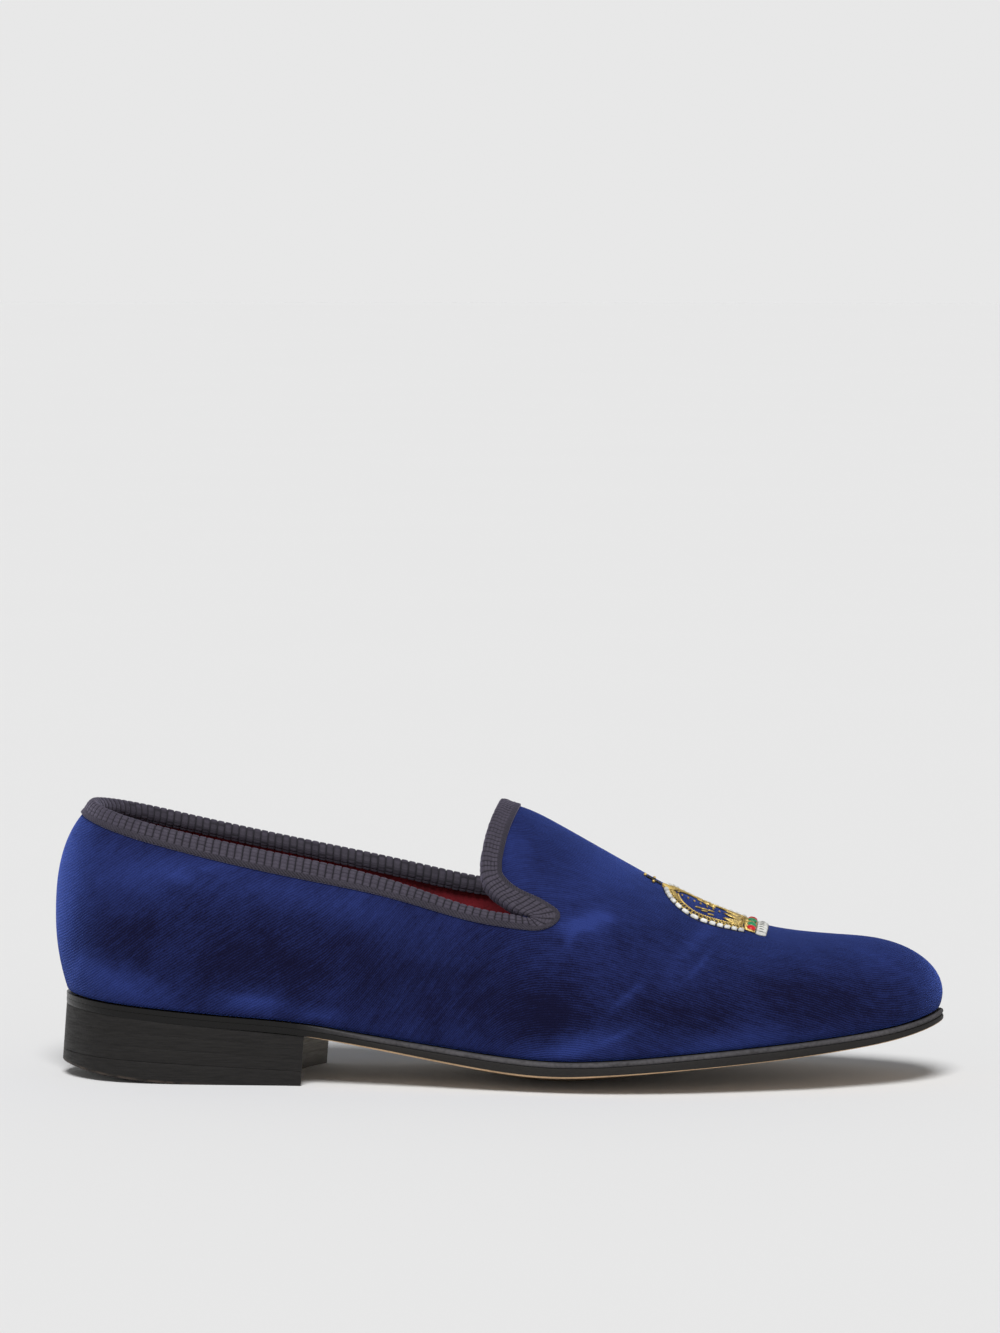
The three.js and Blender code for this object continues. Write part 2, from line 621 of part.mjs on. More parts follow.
// Heel in plan at a height: the seat's edge and the hollow front face, raked and tapered
function heelOutline(height) {
  const rim = (place) => pointAt(place, place.reach + WELT_LEDGE, 0);
  const behind = (place) => place.middle.x < BREAST_AT - BREAST_GAP;
  const lateral = STATIONS.slice(0, SIDE_STEPS).filter(behind).map(rim);
  const rest = STATIONS.slice(SIDE_STEPS + TOE_STEPS).filter(behind).map(rim);
  const start = rim(station(BREAST_AT, -QUARTER_TURN));
  const end = rim(station(BREAST_AT + BREAST_TURN, QUARTER_TURN));
  const breast = [];
  for (let i = 0; i <= BREAST_STEPS; i += 1) {
    const share = i / BREAST_STEPS;
    const point = start.clone().lerp(end, share);
    point.x -= BREAST_HOLLOW * (1 - (2 * share - 1) ** 2);
    breast.push(point);
  }
  const down = 1 - height / HEEL_HEIGHT;
  return [...lateral, ...breast, ...rest].map((point) => {
    const y = point.y * (1 - down * HEEL_TAPER / SEAT_WIDTH);
    return new THREE.Vector3(point.x - down * HEEL_RAKE, y, height);
  });
}

// The heel's full block, taller than the heel, to be cut into its layers
function heelBlock() {
  const low = heelOutline(0);
  const high = heelOutline(BLOCK_TOP);
  const corners = [];
  const flat = low.map((point) => new THREE.Vector2(point.x, point.y));
  THREE.ShapeUtils.triangulateShape(flat, []).forEach(([a, b, c]) => {
    corners.push(low[a], low[c], low[b], high[a], high[b], high[c]);
  });
  low.forEach((point, i) => {
    const k = (i + 1) % low.length;
    corners.push(...face(point, low[k], high[k], high[i]));
  });
  return solid(closedMesh(corners));
}

// Joints of the heel's layers from the side: 0 is the top piece's joint and 1 the sole
function heelJoint(share, margin) {
  const ends = [0, BREAST_AT];
  const joint = [TOP_PIECE_BACK, TOP_PIECE_FRONT];
  const line = ends.map((x, i) => THREE.MathUtils.lerp(joint[i], soleEdge(x), share));
  const slope = (line[1] - line[0]) / BREAST_AT;
  return [-BLOCK_REACH, BLOCK_REACH * 2].map((x) => ({ x, z: line[0] + slope * x + margin }));
}

function heelLift(number) {
  const under = heelJoint(number / LIFT_COUNT, 0);
  const over = heelJoint((number + 1) / LIFT_COUNT, -CLEARANCE);
  return heelBlock().intersect(acrossBlock([...under, ...over.reverse()]));
}

// Top piece: flat under the heel's front, rolled up behind
function topPiece() {
  const over = heelJoint(0, -CLEARANCE);
  const under = [];
  for (let i = 0; i <= ROLL_STEPS; i += 1) {
    const back = ROLL_STRETCH * (1 - i / ROLL_STEPS);
    under.push({ x: HEEL_ROLL_START * (1 - back), z: HEEL_ROLL_RISE * back ** 2 });
  }
  const front = { x: over[1].x, z: 0 };
  return heelBlock().intersect(acrossBlock([over[0], ...under, front, over[1]]));
}

// Height of the vamp's skin at a place in plan
function vampHeight(x, y, growth) {
  const across = y - crestAcross(x / LENGTH) * BALL_WIDTH;
  const place = station(x, Math.sign(across || 1) * QUARTER_TURN);
  const section = sectionOf(place, growth);
  const low = section.foot + section.rise;
  const share = Math.abs(across) / (section.reach + section.tuck);
  return low + (section.crest - low) * (1 - share ** section.fullness) ** (1 / section.fullness);
}

// A flat cord laid on the vamp along a path, given as shares of the crown's length and width
function strap(path, halfWidth) {
  const rows = path.map(([up, side]) => {
    return new THREE.Vector3(CROWN_END - up * CROWN_LENGTH, CROWN_ACROSS + side * CROWN_HALF_WIDTH, 0);
  });
  const curve = new THREE.CatmullRomCurve3(rows);
  const steps = Math.max(2, Math.round(curve.getLength() / STRAP_STEP));
  const rings = [];
  for (let i = 0; i <= steps; i += 1) {
    const point = curve.getPointAt(i / steps);
    const way = curve.getTangentAt(i / steps);
    const ring = CORD_CORNERS.map(([side, high]) => {
      const x = point.x - way.y * side * halfWidth;
      const y = point.y + way.x * side * halfWidth;
      return new THREE.Vector3(x, y, vampHeight(x, y, CLEARANCE + high * CROWN_THICKNESS));
    });
    rings.push(ring);
  }
  const corners = [];
  for (let i = 0; i < steps; i += 1) {
    for (let j = 0; j < CORD_CORNERS.length; j += 1) {
      const k = (j + 1) % CORD_CORNERS.length;
      corners.push(...face(rings[i][j], rings[i + 1][j], rings[i + 1][k], rings[i][k]));
    }
  }
  const [first, last] = [rings[0], rings[steps]];
  corners.push(...face(...first), ...face(last[3], last[2], last[1], last[0]));
  return solid(closedMesh(corners));
}

// Embroidered crown: a band, two outer arches, a middle arch, an orb and a cross
function crown() {
  const arch = (side) => CROWN_ARCH.map((row) => [row.up, row.side * side]);
  return CROWN_STRAPS.map((row) => strap(row.path, row.half))
    .concat([strap(arch(-1), CROWN_CORD), strap(arch(1), CROWN_CORD)])
    .reduce((all, piece) => all.add(piece));
}

const group = new THREE.Group();

function addPiece(name, geometry, color, roughness, metalness = 0) {
  const material = new THREE.MeshStandardMaterial({ color, roughness, metalness });
  const mesh = new THREE.Mesh(geometry, material);
  mesh.name = name;
  group.add(mesh);
}

addPiece('upper', geometryOf(upper()), 0x1b2a7a, 0.9);
addPiece('topline_binding', geometryOf(topline()), 0x3a3440, 0.8);
addPiece('vamp_crown', geometryOf(crown()), 0xb08a3c, 0.4, 0.6);
addPiece('insole', insole(), 0x6e1822, 0.6);
addPiece('welt', welt(), 0x16130f, 0.5);
addPiece('outsole', outsole(), 0xc79a6b, 0.6);
for (let i = 0; i < LIFT_COUNT; i += 1) {
  addPiece(`heel_lift_${i + 1}`, geometryOf(heelLift(i)), 0x221f1c, 0.5);
}
addPiece('heel_top_piece', geometryOf(topPiece()), 0x1c1a18, 0.6);

// The origin is the middle of the heel's flat tread
group.position.x = -(HEEL_ROLL_START + BREAST_AT - BREAST_HOLLOW - HEEL_RAKE) / 2;

export default group;
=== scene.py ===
"""Velvet slipper loafer for the right foot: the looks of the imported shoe, built round its frame.

Lengths are in metres. Inside the shape functions x runs from the rearmost point of the upper to
the toe, y to the medial side and z up from the floor; PLACE carries that into the frame.
"""
from typing import NamedTuple

import bmesh
import bpy
import numpy as np
from bpy.props import FloatProperty, FloatVectorProperty, PointerProperty
from mathutils import Matrix, Vector


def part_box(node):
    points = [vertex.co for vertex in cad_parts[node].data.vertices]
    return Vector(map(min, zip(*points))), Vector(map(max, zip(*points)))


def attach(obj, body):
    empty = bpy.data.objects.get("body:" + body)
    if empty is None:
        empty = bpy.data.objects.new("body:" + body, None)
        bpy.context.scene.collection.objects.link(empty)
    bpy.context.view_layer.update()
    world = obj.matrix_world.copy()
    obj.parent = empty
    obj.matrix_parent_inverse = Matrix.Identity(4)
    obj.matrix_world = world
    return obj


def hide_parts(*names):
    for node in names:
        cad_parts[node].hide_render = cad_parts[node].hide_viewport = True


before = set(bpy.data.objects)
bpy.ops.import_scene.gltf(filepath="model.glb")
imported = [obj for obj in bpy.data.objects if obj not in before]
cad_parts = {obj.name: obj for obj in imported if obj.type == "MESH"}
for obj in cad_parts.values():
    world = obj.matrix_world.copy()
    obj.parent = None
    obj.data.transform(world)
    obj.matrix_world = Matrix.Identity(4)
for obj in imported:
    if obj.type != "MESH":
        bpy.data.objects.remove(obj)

bl_info = {
    "name": "Velvet slipper loafer",
    "version": (1, 0, 0),
    "blender": (4, 5, 0),
    "location": "3D View > Sidebar > Slipper",
    "description": "Builds a velvet slipper loafer round its packed frame",
    "category": "Object",
}

MM = 0.001
QUARTER = np.pi / 2
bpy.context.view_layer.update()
UPPER_LOW, UPPER_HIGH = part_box("upper")
PLACE = np.array([UPPER_LOW.x, 0.0, 0.0])


def table(columns, *rows):
    """A short table as one array for each named column."""
    return dict(zip(columns.split(), np.array(rows, float).T))


# Feather line in plan: along is a share of the length, seat and ball are shares of those widths
OUTLINE_ROWS = table(
    "along seat ball",
    (0.0142, 0, 0), (0.0298, -0.227, 0), (0.0662, -0.398, 0), (0.1159, -0.478, 0),
    (0.1987, -0.503, 0), (0.2914, -0.509, 0), (0.3808, -0.3, -0.166), (0.4636, -0.1, -0.35),
    (0.5464, 0, -0.474), (0.6291, 0, -0.512), (0.7119, 0, -0.497), (0.7881, 0, -0.442),
    (0.8543, 0, -0.379), (0.9106, 0, -0.289), (0.9536, 0, -0.195), (0.9818, 0, -0.095),
    (0.9954, 0, 0.037), (0.9851, 0, 0.147), (0.96, 0, 0.237), (0.9139, 0, 0.332),
    (0.8477, 0, 0.416), (0.7781, 0, 0.467), (0.702, 0, 0.493), (0.6291, 0, 0.474),
    (0.5464, 0, 0.416), (0.4636, 0.1, 0.28), (0.3808, 0.3, 0.105), (0.2914, 0.472, 0),
    (0.1987, 0.494, 0), (0.1159, 0.475, 0), (0.0662, 0.395, 0), (0.0298, 0.227, 0),
)

# Underside of the sole's edge from the side, as shares of the heel's height, the sole's round
# and the toe's spring, and the sole's thickness as a share of its full thickness
SOLE_ROWS = table(
    "along heel round spring thick",
    (-0.02, 1.0355, 0, 0, 0.68), (0.0132, 1, 0, 0, 0.68), (0.1159, 0.8905, 0, 0, 0.68),
    (0.1987, 0.802, 0, 0, 0.68), (0.2914, 0.7025, 0, 0, 0.68), (0.3543, 0.533, 0.2, 0, 0.72),
    (0.4007, 0.384, 0.42, 0, 0.84), (0.447, 0.24, 0.64, 0, 0.98), (0.4901, 0.12, 0.82, 0, 1.08),
    (0.5364, 0.025, 0.96, 0, 1.12), (0.5795, 0, 1, 0, 1.08), (0.6225, 0, 0.98, 0.04, 1),
    (0.7119, 0, 0.84, 0.19, 0.97), (0.798, 0, 0.66, 0.352, 0.95), (0.8874, 0, 0.46, 0.553, 0.84),
    (0.9536, 0, 0.24, 0.759, 0.7), (0.9967, 0, 0, 1, 0.6), (1.02, 0, 0, 1.13, 0.6),
)

# Cross sections of the last: height of the fullest line as a share of the rise at the heel's
# back, how far it stands out over the feather line, and how square the top is
HEEL_AXIS_ALONG = 0.1146
TOE_AXIS_ALONG = 0.896
SECTION_ROWS = table(
    "along rise tuck fullness",
    (0, 1, 1, 2.52), (HEEL_AXIS_ALONG, 1, 0.82, 2.45), (0.2, 0.92, 0.74, 2.35),
    (0.3, 0.82, 0.62, 2.15), (0.4, 0.7, 0.5, 1.98), (0.5, 0.58, 0.42, 1.88),
    (0.58, 0.48, 0.42, 1.86), (0.66, 0.42, 0.46, 1.92), (0.75, 0.38, 0.46, 2.06),
    (0.83, 0.34, 0.44, 2.14), (TOE_AXIS_ALONG, 0.3, 0.42, 2.12), (0.95, 0.26, 0.36, 2.04),
    (1, 0.23, 0.33, 2),
)

# Crest of the last from the side, as shares of the instep's and the toe's height, and its place
# across as a share of the ball's width
CREST_ROWS = table(
    "along instep toe across",
    (HEEL_AXIS_ALONG, 1.058, 0, 0), (0.2, 1.033, 0, -0.004), (0.3, 1.013, 0, -0.01),
    (0.4, 1, 0, -0.004), (0.47, 1.003, 0, 0.012), (0.5248, 0.987, 0, 0.024),
    (0.5702, 0.918, 0, 0.032), (0.6152, 0.835, 0, 0.038), (0.6603, 0.752, 0, 0.041),
    (0.7053, 0.36, 0.6, 0.042), (0.7503, 0, 1.167, 0.042), (0.7954, 0, 1.07, 0.041),
    (0.8401, 0, 1.023, 0.04), (TOE_AXIS_ALONG, 0, 1, 0.036),
)

# Cut edge of the collar from the side, as shares of the counter's and the notch's height, and
# what the medial side adds as a share of the notch's height
COLLAR_ROWS = table(
    "along counter notch medial",
    (-0.04, 1.1, 0, 0), (0.0232, 1.024, 0, 0), (0.0464, 1, 0, 0), (0.0934, 0.957, 0, 0),
    (0.18, 0.89, 0, 0), (0.2868, 0.5, 0.508, 0.002), (0.399, 0, 1.168, 0.022),
    (0.4891, 0, 1.036, 0.05), (0.5411, 0, 1, 0.055),
)

# Cut edge of the tongue from the side: between is the share of the way up from the notch to the
# top of the instep, and medial what that side adds to its height
TONGUE_ROWS = table(
    "between along medial",
    (0, 0.5411, 0.055), (0.13, 0.523, 0.05), (0.21, 0.5093, 0.045), (0.285, 0.4985, 0.04),
    (0.36, 0.4942, 0.034), (0.45, 0.4921, 0.028), (0.62, 0.4934, 0.018), (0.78, 0.497, 0.01),
    (0.92, 0.5023, 0.004), (1.05, 0.509, 0), (1.3, 0.524, 0),
)

# Fixed small sizes of the make
SEAM = 0.3 * MM
TREAD_FLAT = 0.7 * MM
WELT_THICKNESS = 1.5 * MM
WELT_LEDGE = 1.7 * MM
WELT_INSIDE = 6 * MM
WALL = 2 * MM
VELVET_THICKNESS = 0.8 * MM
LINING_THICKNESS = 0.9 * MM
LINING_FOOT = 1.0 * MM
HEM = 1.3 * MM
TURN_IN = 2.2 * MM
INSOLE_THICKNESS = 1.8 * MM
WELD = 0.001 * MM

# Steps of the grids, and of the curves that they follow
OUTLINE_STEPS = 4000
GUIDE_STEPS = 9000
EDGE_ROUNDS = 60
UPPER_COLUMNS = (150, 60, 56)
SOLE_COLUMNS = (110, 44, 44)
HEM_ROWS, WALL_ROWS, TOP_ROWS = 6, 8, 45
FACE_ROWS, ROLL_ROWS, INSIDE_ROWS = 27, 11, 14


def smooth_curve(rows, over, column):
    """A natural cubic spline of one column over another: its second slopes solve the usual
    three-banded system, and between two rows it is their straight mix plus a cubic sag."""
    at, values = rows[over], rows[column]
    step = np.diff(at)
    slope = np.diff(values) / step
    matrix = np.eye(len(at))
    inner = np.arange(1, len(at) - 1)
    matrix[inner, inner - 1] = step[:-1]
    matrix[inner, inner] = 2 * (step[:-1] + step[1:])
    matrix[inner, inner + 1] = step[1:]
    turn = np.zeros(len(at))
    turn[inner] = 6 * np.diff(slope)
    bend = np.linalg.solve(matrix, turn)

    def curve(place):
        """The spline at places between the first row and the last."""
        inside = np.clip(place, at[0], at[-1])
        i = np.clip(np.searchsorted(at, inside) - 1, 0, len(step) - 1)
        right = (inside - at[i]) / step[i]
        left = 1 - right
        sag = ((left ** 3 - left) * bend[i] + (right ** 3 - right) * bend[i + 1]) * step[i] ** 2 / 6
        return left * values[i] + right * values[i + 1] + sag

    return curve


def ring_curve(points, count, gap=None):
    """Evenly stepped points on the closed cubic spline through the given ones. Its knots are as
    far apart as the square roots of the points' distances, unless the gaps are given."""
    if gap is None:
        gap = np.linalg.norm(np.roll(points, -1, 0) - points, axis=1) ** 0.5
    here = np.arange(len(points))
    matrix = np.diag(2 * (np.roll(gap, 1) + gap))
    matrix[here, here - 1] += np.roll(gap, 1)
    matrix[here, (here + 1) % len(points)] += gap
    slope = (np.roll(points, -1, 0) - points) / gap[:, None]
    bend = np.linalg.solve(matrix, 6 * (slope - np.roll(slope, 1, 0)))
    start = np.concatenate([[0], np.cumsum(gap)])
    place = np.linspace(0, start[-1], count, endpoint=False)
    i = np.searchsorted(start, place, "right") - 1
    right = ((place - start[i]) / gap[i])[:, None]
    left = 1 - right
    after = (i + 1) % len(points)
    sag = ((left ** 3 - left) * bend[i] + (right ** 3 - right) * bend[after]) * gap[i][:, None] ** 2 / 6
    return left * points[i] + right * points[after] + sag


def smooth_step(low, high, value):
    """Rises from 0 at low to 1 at high, level at both ends."""
    share = np.clip((value - low) / (high - low), 0, 1)
    return share * share * (3 - 2 * share)


class Station(NamedTuple):
    """Half sections of the last: foot on the middle line, direction and reach to the feather line."""

    x: np.ndarray
    y: np.ndarray
    way_x: np.ndarray
    way_y: np.ndarray
    reach: np.ndarray


class Section(NamedTuple):
    """Sizes of a half section, grown by a thickness."""

    foot: np.ndarray
    rise: np.ndarray
    tuck: np.ndarray
    reach: np.ndarray
    crest: np.ndarray
    fullness: np.ndarray


class Last:
    """The form of the shoe, worked out from its sizes and the tables above."""

    def __init__(self, sizes):
        self.sizes = sizes
        self.length = sizes.length
        self.curves = {
            (name, column): smooth_curve(rows, over, column)
            for name, rows, over in (
                ("sole", SOLE_ROWS, "along"), ("section", SECTION_ROWS, "along"),
                ("crest", CREST_ROWS, "along"), ("collar", COLLAR_ROWS, "along"),
                ("tongue", TONGUE_ROWS, "between"),
            )
            for column in rows if column != over
        }
        self.heel_axis = HEEL_AXIS_ALONG * self.length
        self.toe_axis = TOE_AXIS_ALONG * self.length
        self.notch_x = COLLAR_ROWS["along"][-1] * self.length
        corners = np.stack([
            OUTLINE_ROWS["along"] * self.length,
            OUTLINE_ROWS["seat"] * sizes.seat_width + OUTLINE_ROWS["ball"] * sizes.ball_width,
        ], 1)
        outline = ring_curve(corners, OUTLINE_STEPS)
        outline = np.roll(outline, -int(outline[:, 0].argmin()), 0)
        tip = int(outline[:, 0].argmax())
        self.lateral = outline[:tip + 1].T
        self.medial = outline[tip:][::-1].T
        self.heel_fan = self.fan(outline, self.heel_axis, -1)
        self.toe_fan = self.fan(outline, self.toe_axis, 1)

    def fan(self, outline, axis, forward):
        """Angle from the lateral direction and distance of the outline round an upright axis."""
        out_x = (outline[:, 0] - axis) * forward
        out_y = outline[:, 1] - self.middle(axis)
        near = out_x > -5 * MM
        angle = np.arctan2(out_x[near], -out_y[near])
        order = np.argsort(angle)
        return angle[order], np.hypot(out_x, out_y)[near][order]

    def share(self, name, column, x):
        """A table's curve at places along the shoe."""
        return self.curves[name, column](x / self.length)

    def middle(self, x):
        """Place across of the middle line."""
        return self.share("crest", "across", x) * self.sizes.ball_width

    def sole_edge(self, x):
        """Underside of the sole's edge: the sum of its curves times the heel's height, the
        sole's round and the toe's spring."""
        sizes = self.sizes
        return (self.share("sole", "heel", x) * sizes.heel_height
                + self.share("sole", "round", x) * sizes.sole_round
                + self.share("sole", "spring", x) * sizes.toe_spring)

    def sole_under(self, x, out):
        """Underside of the sole at a share of the way out from the middle, flat on the floor."""
        hollow = self.share("sole", "round", x) * (self.sizes.sole_round + TREAD_FLAT) * (1 - out ** 2) ** 1.5
        return np.maximum(0, self.sole_edge(x) - np.maximum(0, hollow))

    def sole_top(self, x):
        """The sole's edge plus its thickness there."""
        return self.sole_edge(x) + self.share("sole", "thick", x) * self.sizes.sole_thickness

    def welt_top(self, x):
        """A seam and the welt's thickness over the sole."""
        return self.sole_top(x) + SEAM + WELT_THICKNESS

    def feather(self, x):
        """Foot of the upper, a seam over the welt."""
        return self.welt_top(x) + SEAM

    def crest(self, x):
        """Top of the last: the sum of its curves times the instep's and the toe's height."""
        return (self.share("crest", "instep", x) * self.sizes.instep_height
                + self.share("crest", "toe", x) * self.sizes.toe_height)

    def station(self, x, way_x, way_y):
        """Half sections from the middle line at x in the given directions."""
        middle = self.middle(x)
        side = np.where(way_y < 0, middle - np.interp(x, *self.lateral), np.interp(x, *self.medial) - middle)
        heel = np.interp(np.arctan2(-way_x, -way_y), *self.heel_fan)
        toe = np.interp(np.arctan2(way_x, -way_y), *self.toe_fan)
        reach = np.where(way_x < 0, heel, np.where(way_x > 0, toe, side))
        return Station(x, middle, way_x, way_y, reach)

    def station_through(self, x, y):
        """Half sections that pass over places in plan, and the places' distance out."""
        mid_x = np.clip(x, self.heel_axis, self.toe_axis)
        out_x = x - mid_x
        out_y = y - self.middle(mid_x)
        distance = np.hypot(out_x, out_y)
        still = distance < 1e-9
        way_x = np.where(still, 0, out_x / np.where(still, 1, distance))
        way_y = np.where(still, 1, out_y / np.where(still, 1, distance))
        return self.station(mid_x, way_x, way_y), distance

    def ring(self, side_count, heel_count, toe_count):
        """Half sections in turn: lateral side, round the toe, medial side, round the heel."""
        along = np.linspace(self.heel_axis, self.toe_axis, side_count, endpoint=False)
        back = np.linspace(self.toe_axis, self.heel_axis, side_count, endpoint=False)
        toe = np.linspace(0, np.pi, toe_count, endpoint=False)
        heel = np.linspace(np.pi, 0, heel_count, endpoint=False)
        level = np.zeros(side_count)
        ends = np.full(toe_count, self.toe_axis), np.full(heel_count, self.heel_axis)
        x = np.concatenate([along, ends[0], back, ends[1]])
        way_x = np.concatenate([level, np.sin(toe), level, -np.sin(heel)])
        way_y = np.concatenate([level - 1, -np.cos(toe), level + 1, -np.cos(heel)])
        way_x[np.abs(way_x) < 1e-9] = 0
        return self.station(x, way_x, way_y)

    def section(self, place, growth):
        """Sizes of half sections: the curves times the sizes they are shares of."""
        x = place.x + place.way_x * place.reach
        return Section(
            foot=self.feather(x),
            rise=self.share("section", "rise", x) * self.sizes.widest_rise,
            tuck=self.share("section", "tuck", x) * self.sizes.counter_tuck,
            reach=place.reach + growth,
            crest=self.crest(place.x) + growth,
            fullness=self.share("section", "fullness", x),
        )

    def skin(self, place, rows, growth=0, inset=0):
        """The last's skin at rows up a half section. Rows 0 to 1 climb the wall, which swells out
        by a parabola to its fullest line, and rows 1 to 2 a quarter superellipse to the crest."""
        part = self.section(place, growth)
        up = np.clip(rows, 0, 1)
        swell = part.tuck * (1 - (1 - up) ** 2)
        angle = QUARTER * np.clip(rows - 1, 0, 1)
        flat, steep = np.cos(angle).clip(0), np.sin(angle)
        scale = (flat ** part.fullness + steep ** part.fullness) ** (-1 / part.fullness)
        low = part.foot + part.rise
        top = rows > 1
        distance = np.where(top, (part.reach + part.tuck) * flat * scale, part.reach + swell - inset)
        height = np.where(top, low + (part.crest - low) * steep * scale, part.foot + part.rise * up)
        return point_at(place, distance, height)

    def on_skin(self, points, growth=0):
        """Points drawn on to the skin: above the fullest line along a ray from the middle, and
        below it straight out."""
        x, y, z = np.moveaxis(points, -1, 0)
        place, distance = self.station_through(x, y)
        part = self.section(place, growth)
        low = part.foot + part.rise
        wide = part.reach + part.tuck
        over = np.maximum(z - low, 0)
        size = (distance / wide) ** part.fullness + (over / (part.crest - low)) ** part.fullness
        scale = np.maximum(size, 1e-9) ** (-1 / part.fullness)
        up = np.clip((z - part.foot) / part.rise, 0, 1)
        wall = part.reach + part.tuck * (1 - (1 - up) ** 2)
        top = z > low
        return point_at(place, np.where(top, distance * scale, wall), np.where(top, low + over * scale, z))

    def vamp(self, x, y, growth=0):
        """Points on the vamp over places in plan: the superellipse's height at their distance out."""
        place, distance = self.station_through(x, y)
        part = self.section(place, growth)
        low = part.foot + part.rise
        out = np.clip(distance / (part.reach + part.tuck), 0, 1)
        height = low + (part.crest - low) * (1 - out ** part.fullness) ** (1 / part.fullness)
        return np.stack(np.broadcast_arrays(x, y, height), -1)

    def medial_lift(self, share, y):
        """A share of the notch's height, half of it on the middle line and growing straight
        across to the medial side."""
        return share * self.sizes.notch_height * (0.5 + y / self.sizes.seat_width)

    def collar_height(self, x, y):
        """The collar's cut edge: the sum of its curves times the counter's and the notch's
        height, and the medial side's lift."""
        sizes = self.sizes
        return (self.share("collar", "counter", x) * sizes.counter_height
                + self.share("collar", "notch", x) * sizes.notch_height
                + self.medial_lift(self.share("collar", "medial", x), y))

    def tongue_place(self, y, z):
        """Place along the shoe of the tongue's cut edge at a height."""
        low, high = self.sizes.notch_height, self.sizes.instep_height
        between = (z - low) / (high - low)
        lift = self.medial_lift(self.curves["tongue", "medial"](between), y)
        between = (z - lift - low) / (high - low)
        return self.curves["tongue", "along"](between) * self.length

    def opening(self, points):
        """How far inside the opening points lie: above the collar and behind the tongue."""
        x, y, z = np.moveaxis(points, -1, 0)
        return np.minimum(z - self.collar_height(x, y), self.tongue_place(y, z) - x)

    def collar_edge(self, place):
        """Where half sections meet the collar's cut edge, found by repeated correction."""
        part = self.section(place, 0)
        low = part.foot + part.rise
        height = self.collar_height(place.x + place.way_x * place.reach, place.y + place.way_y * place.reach)
        for _ in range(EDGE_ROUNDS):
            over = np.clip((height - low) / (part.crest - low), 0, 1)
            distance = (part.reach + part.tuck) * (1 - over ** part.fullness) ** (1 / part.fullness)
            found = point_at(place, distance, height)
            height = (height + self.collar_height(found[:, 0], found[:, 1])) / 2
        return found

    def tongue_edge(self, rows, side):
        """Where rows up the skin meet the tongue's cut edge on one side, found the same way."""
        x = np.full(len(rows), self.notch_x)
        for _ in range(EDGE_ROUNDS):
            found = self.skin(self.station(x, np.zeros(len(x)), np.full(len(x), side)), rows)
            x = (x + self.tongue_place(found[:, 1], found[:, 2])) / 2
        return found


def point_at(place, distance, height):
    """Points of half sections at distances out from the middle line and heights."""
    return np.stack(np.broadcast_arrays(
        place.x + place.way_x * distance, place.y + place.way_y * distance, height), -1)


def column(place):
    """Half sections as a column, ready to be spread over rows."""
    return Station(*(np.asarray(value)[:, None] for value in place))


# Meshes

def grid_faces(columns, rows, closed_columns=True, closed_rows=False):
    """Quads of a grid of points, numbered column by column."""
    i = np.arange(columns if closed_columns else columns - 1)[:, None]
    j = np.arange(rows if closed_rows else rows - 1)[None, :]
    after_i, after_j = (i + 1) % columns, (j + 1) % rows
    corners = np.stack(np.broadcast_arrays(i * rows + j, after_i * rows + j,
                                           after_i * rows + after_j, i * rows + after_j), -1)
    return corners.reshape(-1, 4)


def clipped_grid(points, field):
    """The part of a closed grid where a field is below zero: each cell keeps its corners that are
    inside, and the points where the field crosses zero on its sides."""
    columns, rows = field.shape
    inside = field < 0
    flat = points.reshape(-1, points.shape[-1])
    number = np.arange(columns * rows).reshape(columns, rows)

    def crossings(first, second, start):
        """Numbers and points where the field crosses zero between neighbours."""
        here, there = field.ravel()[first], field.ravel()[second]
        cut = (here < 0) != (there < 0)
        share = np.where(cut, here / np.where(cut, here - there, 1), 0)[..., None]
        found = flat[first] * (1 - share) + flat[second] * share
        label = np.full(first.shape, -1)
        label[cut] = start + np.arange(cut.sum())
        return label, found[cut]

    across, across_points = crossings(number, np.roll(number, -1, 0), len(flat))
    up, up_points = crossings(number[:, :-1], number[:, 1:], len(flat) + len(across_points))
    cells = [number[:, :-1], np.roll(number, -1, 0)[:, :-1], np.roll(number, -1, 0)[:, 1:], number[:, 1:]]
    sides = [across[:, :-1], np.roll(up, -1, 0), across[:, 1:], up]
    keep = [np.where(inside.ravel()[corner], corner, -1) for corner in cells]
    walk = np.stack([label for pair in zip(keep, sides) for label in pair], -1).reshape(-1, 8)
    used = walk >= 0
    order = np.argsort(~used, axis=1, kind="stable")
    walk = np.take_along_axis(walk, order, 1)
    count = used.sum(1)
    faces = [face for size in range(3, 8) for face in walk[count == size, :size].tolist()]
    return np.concatenate([flat, across_points, up_points]), faces


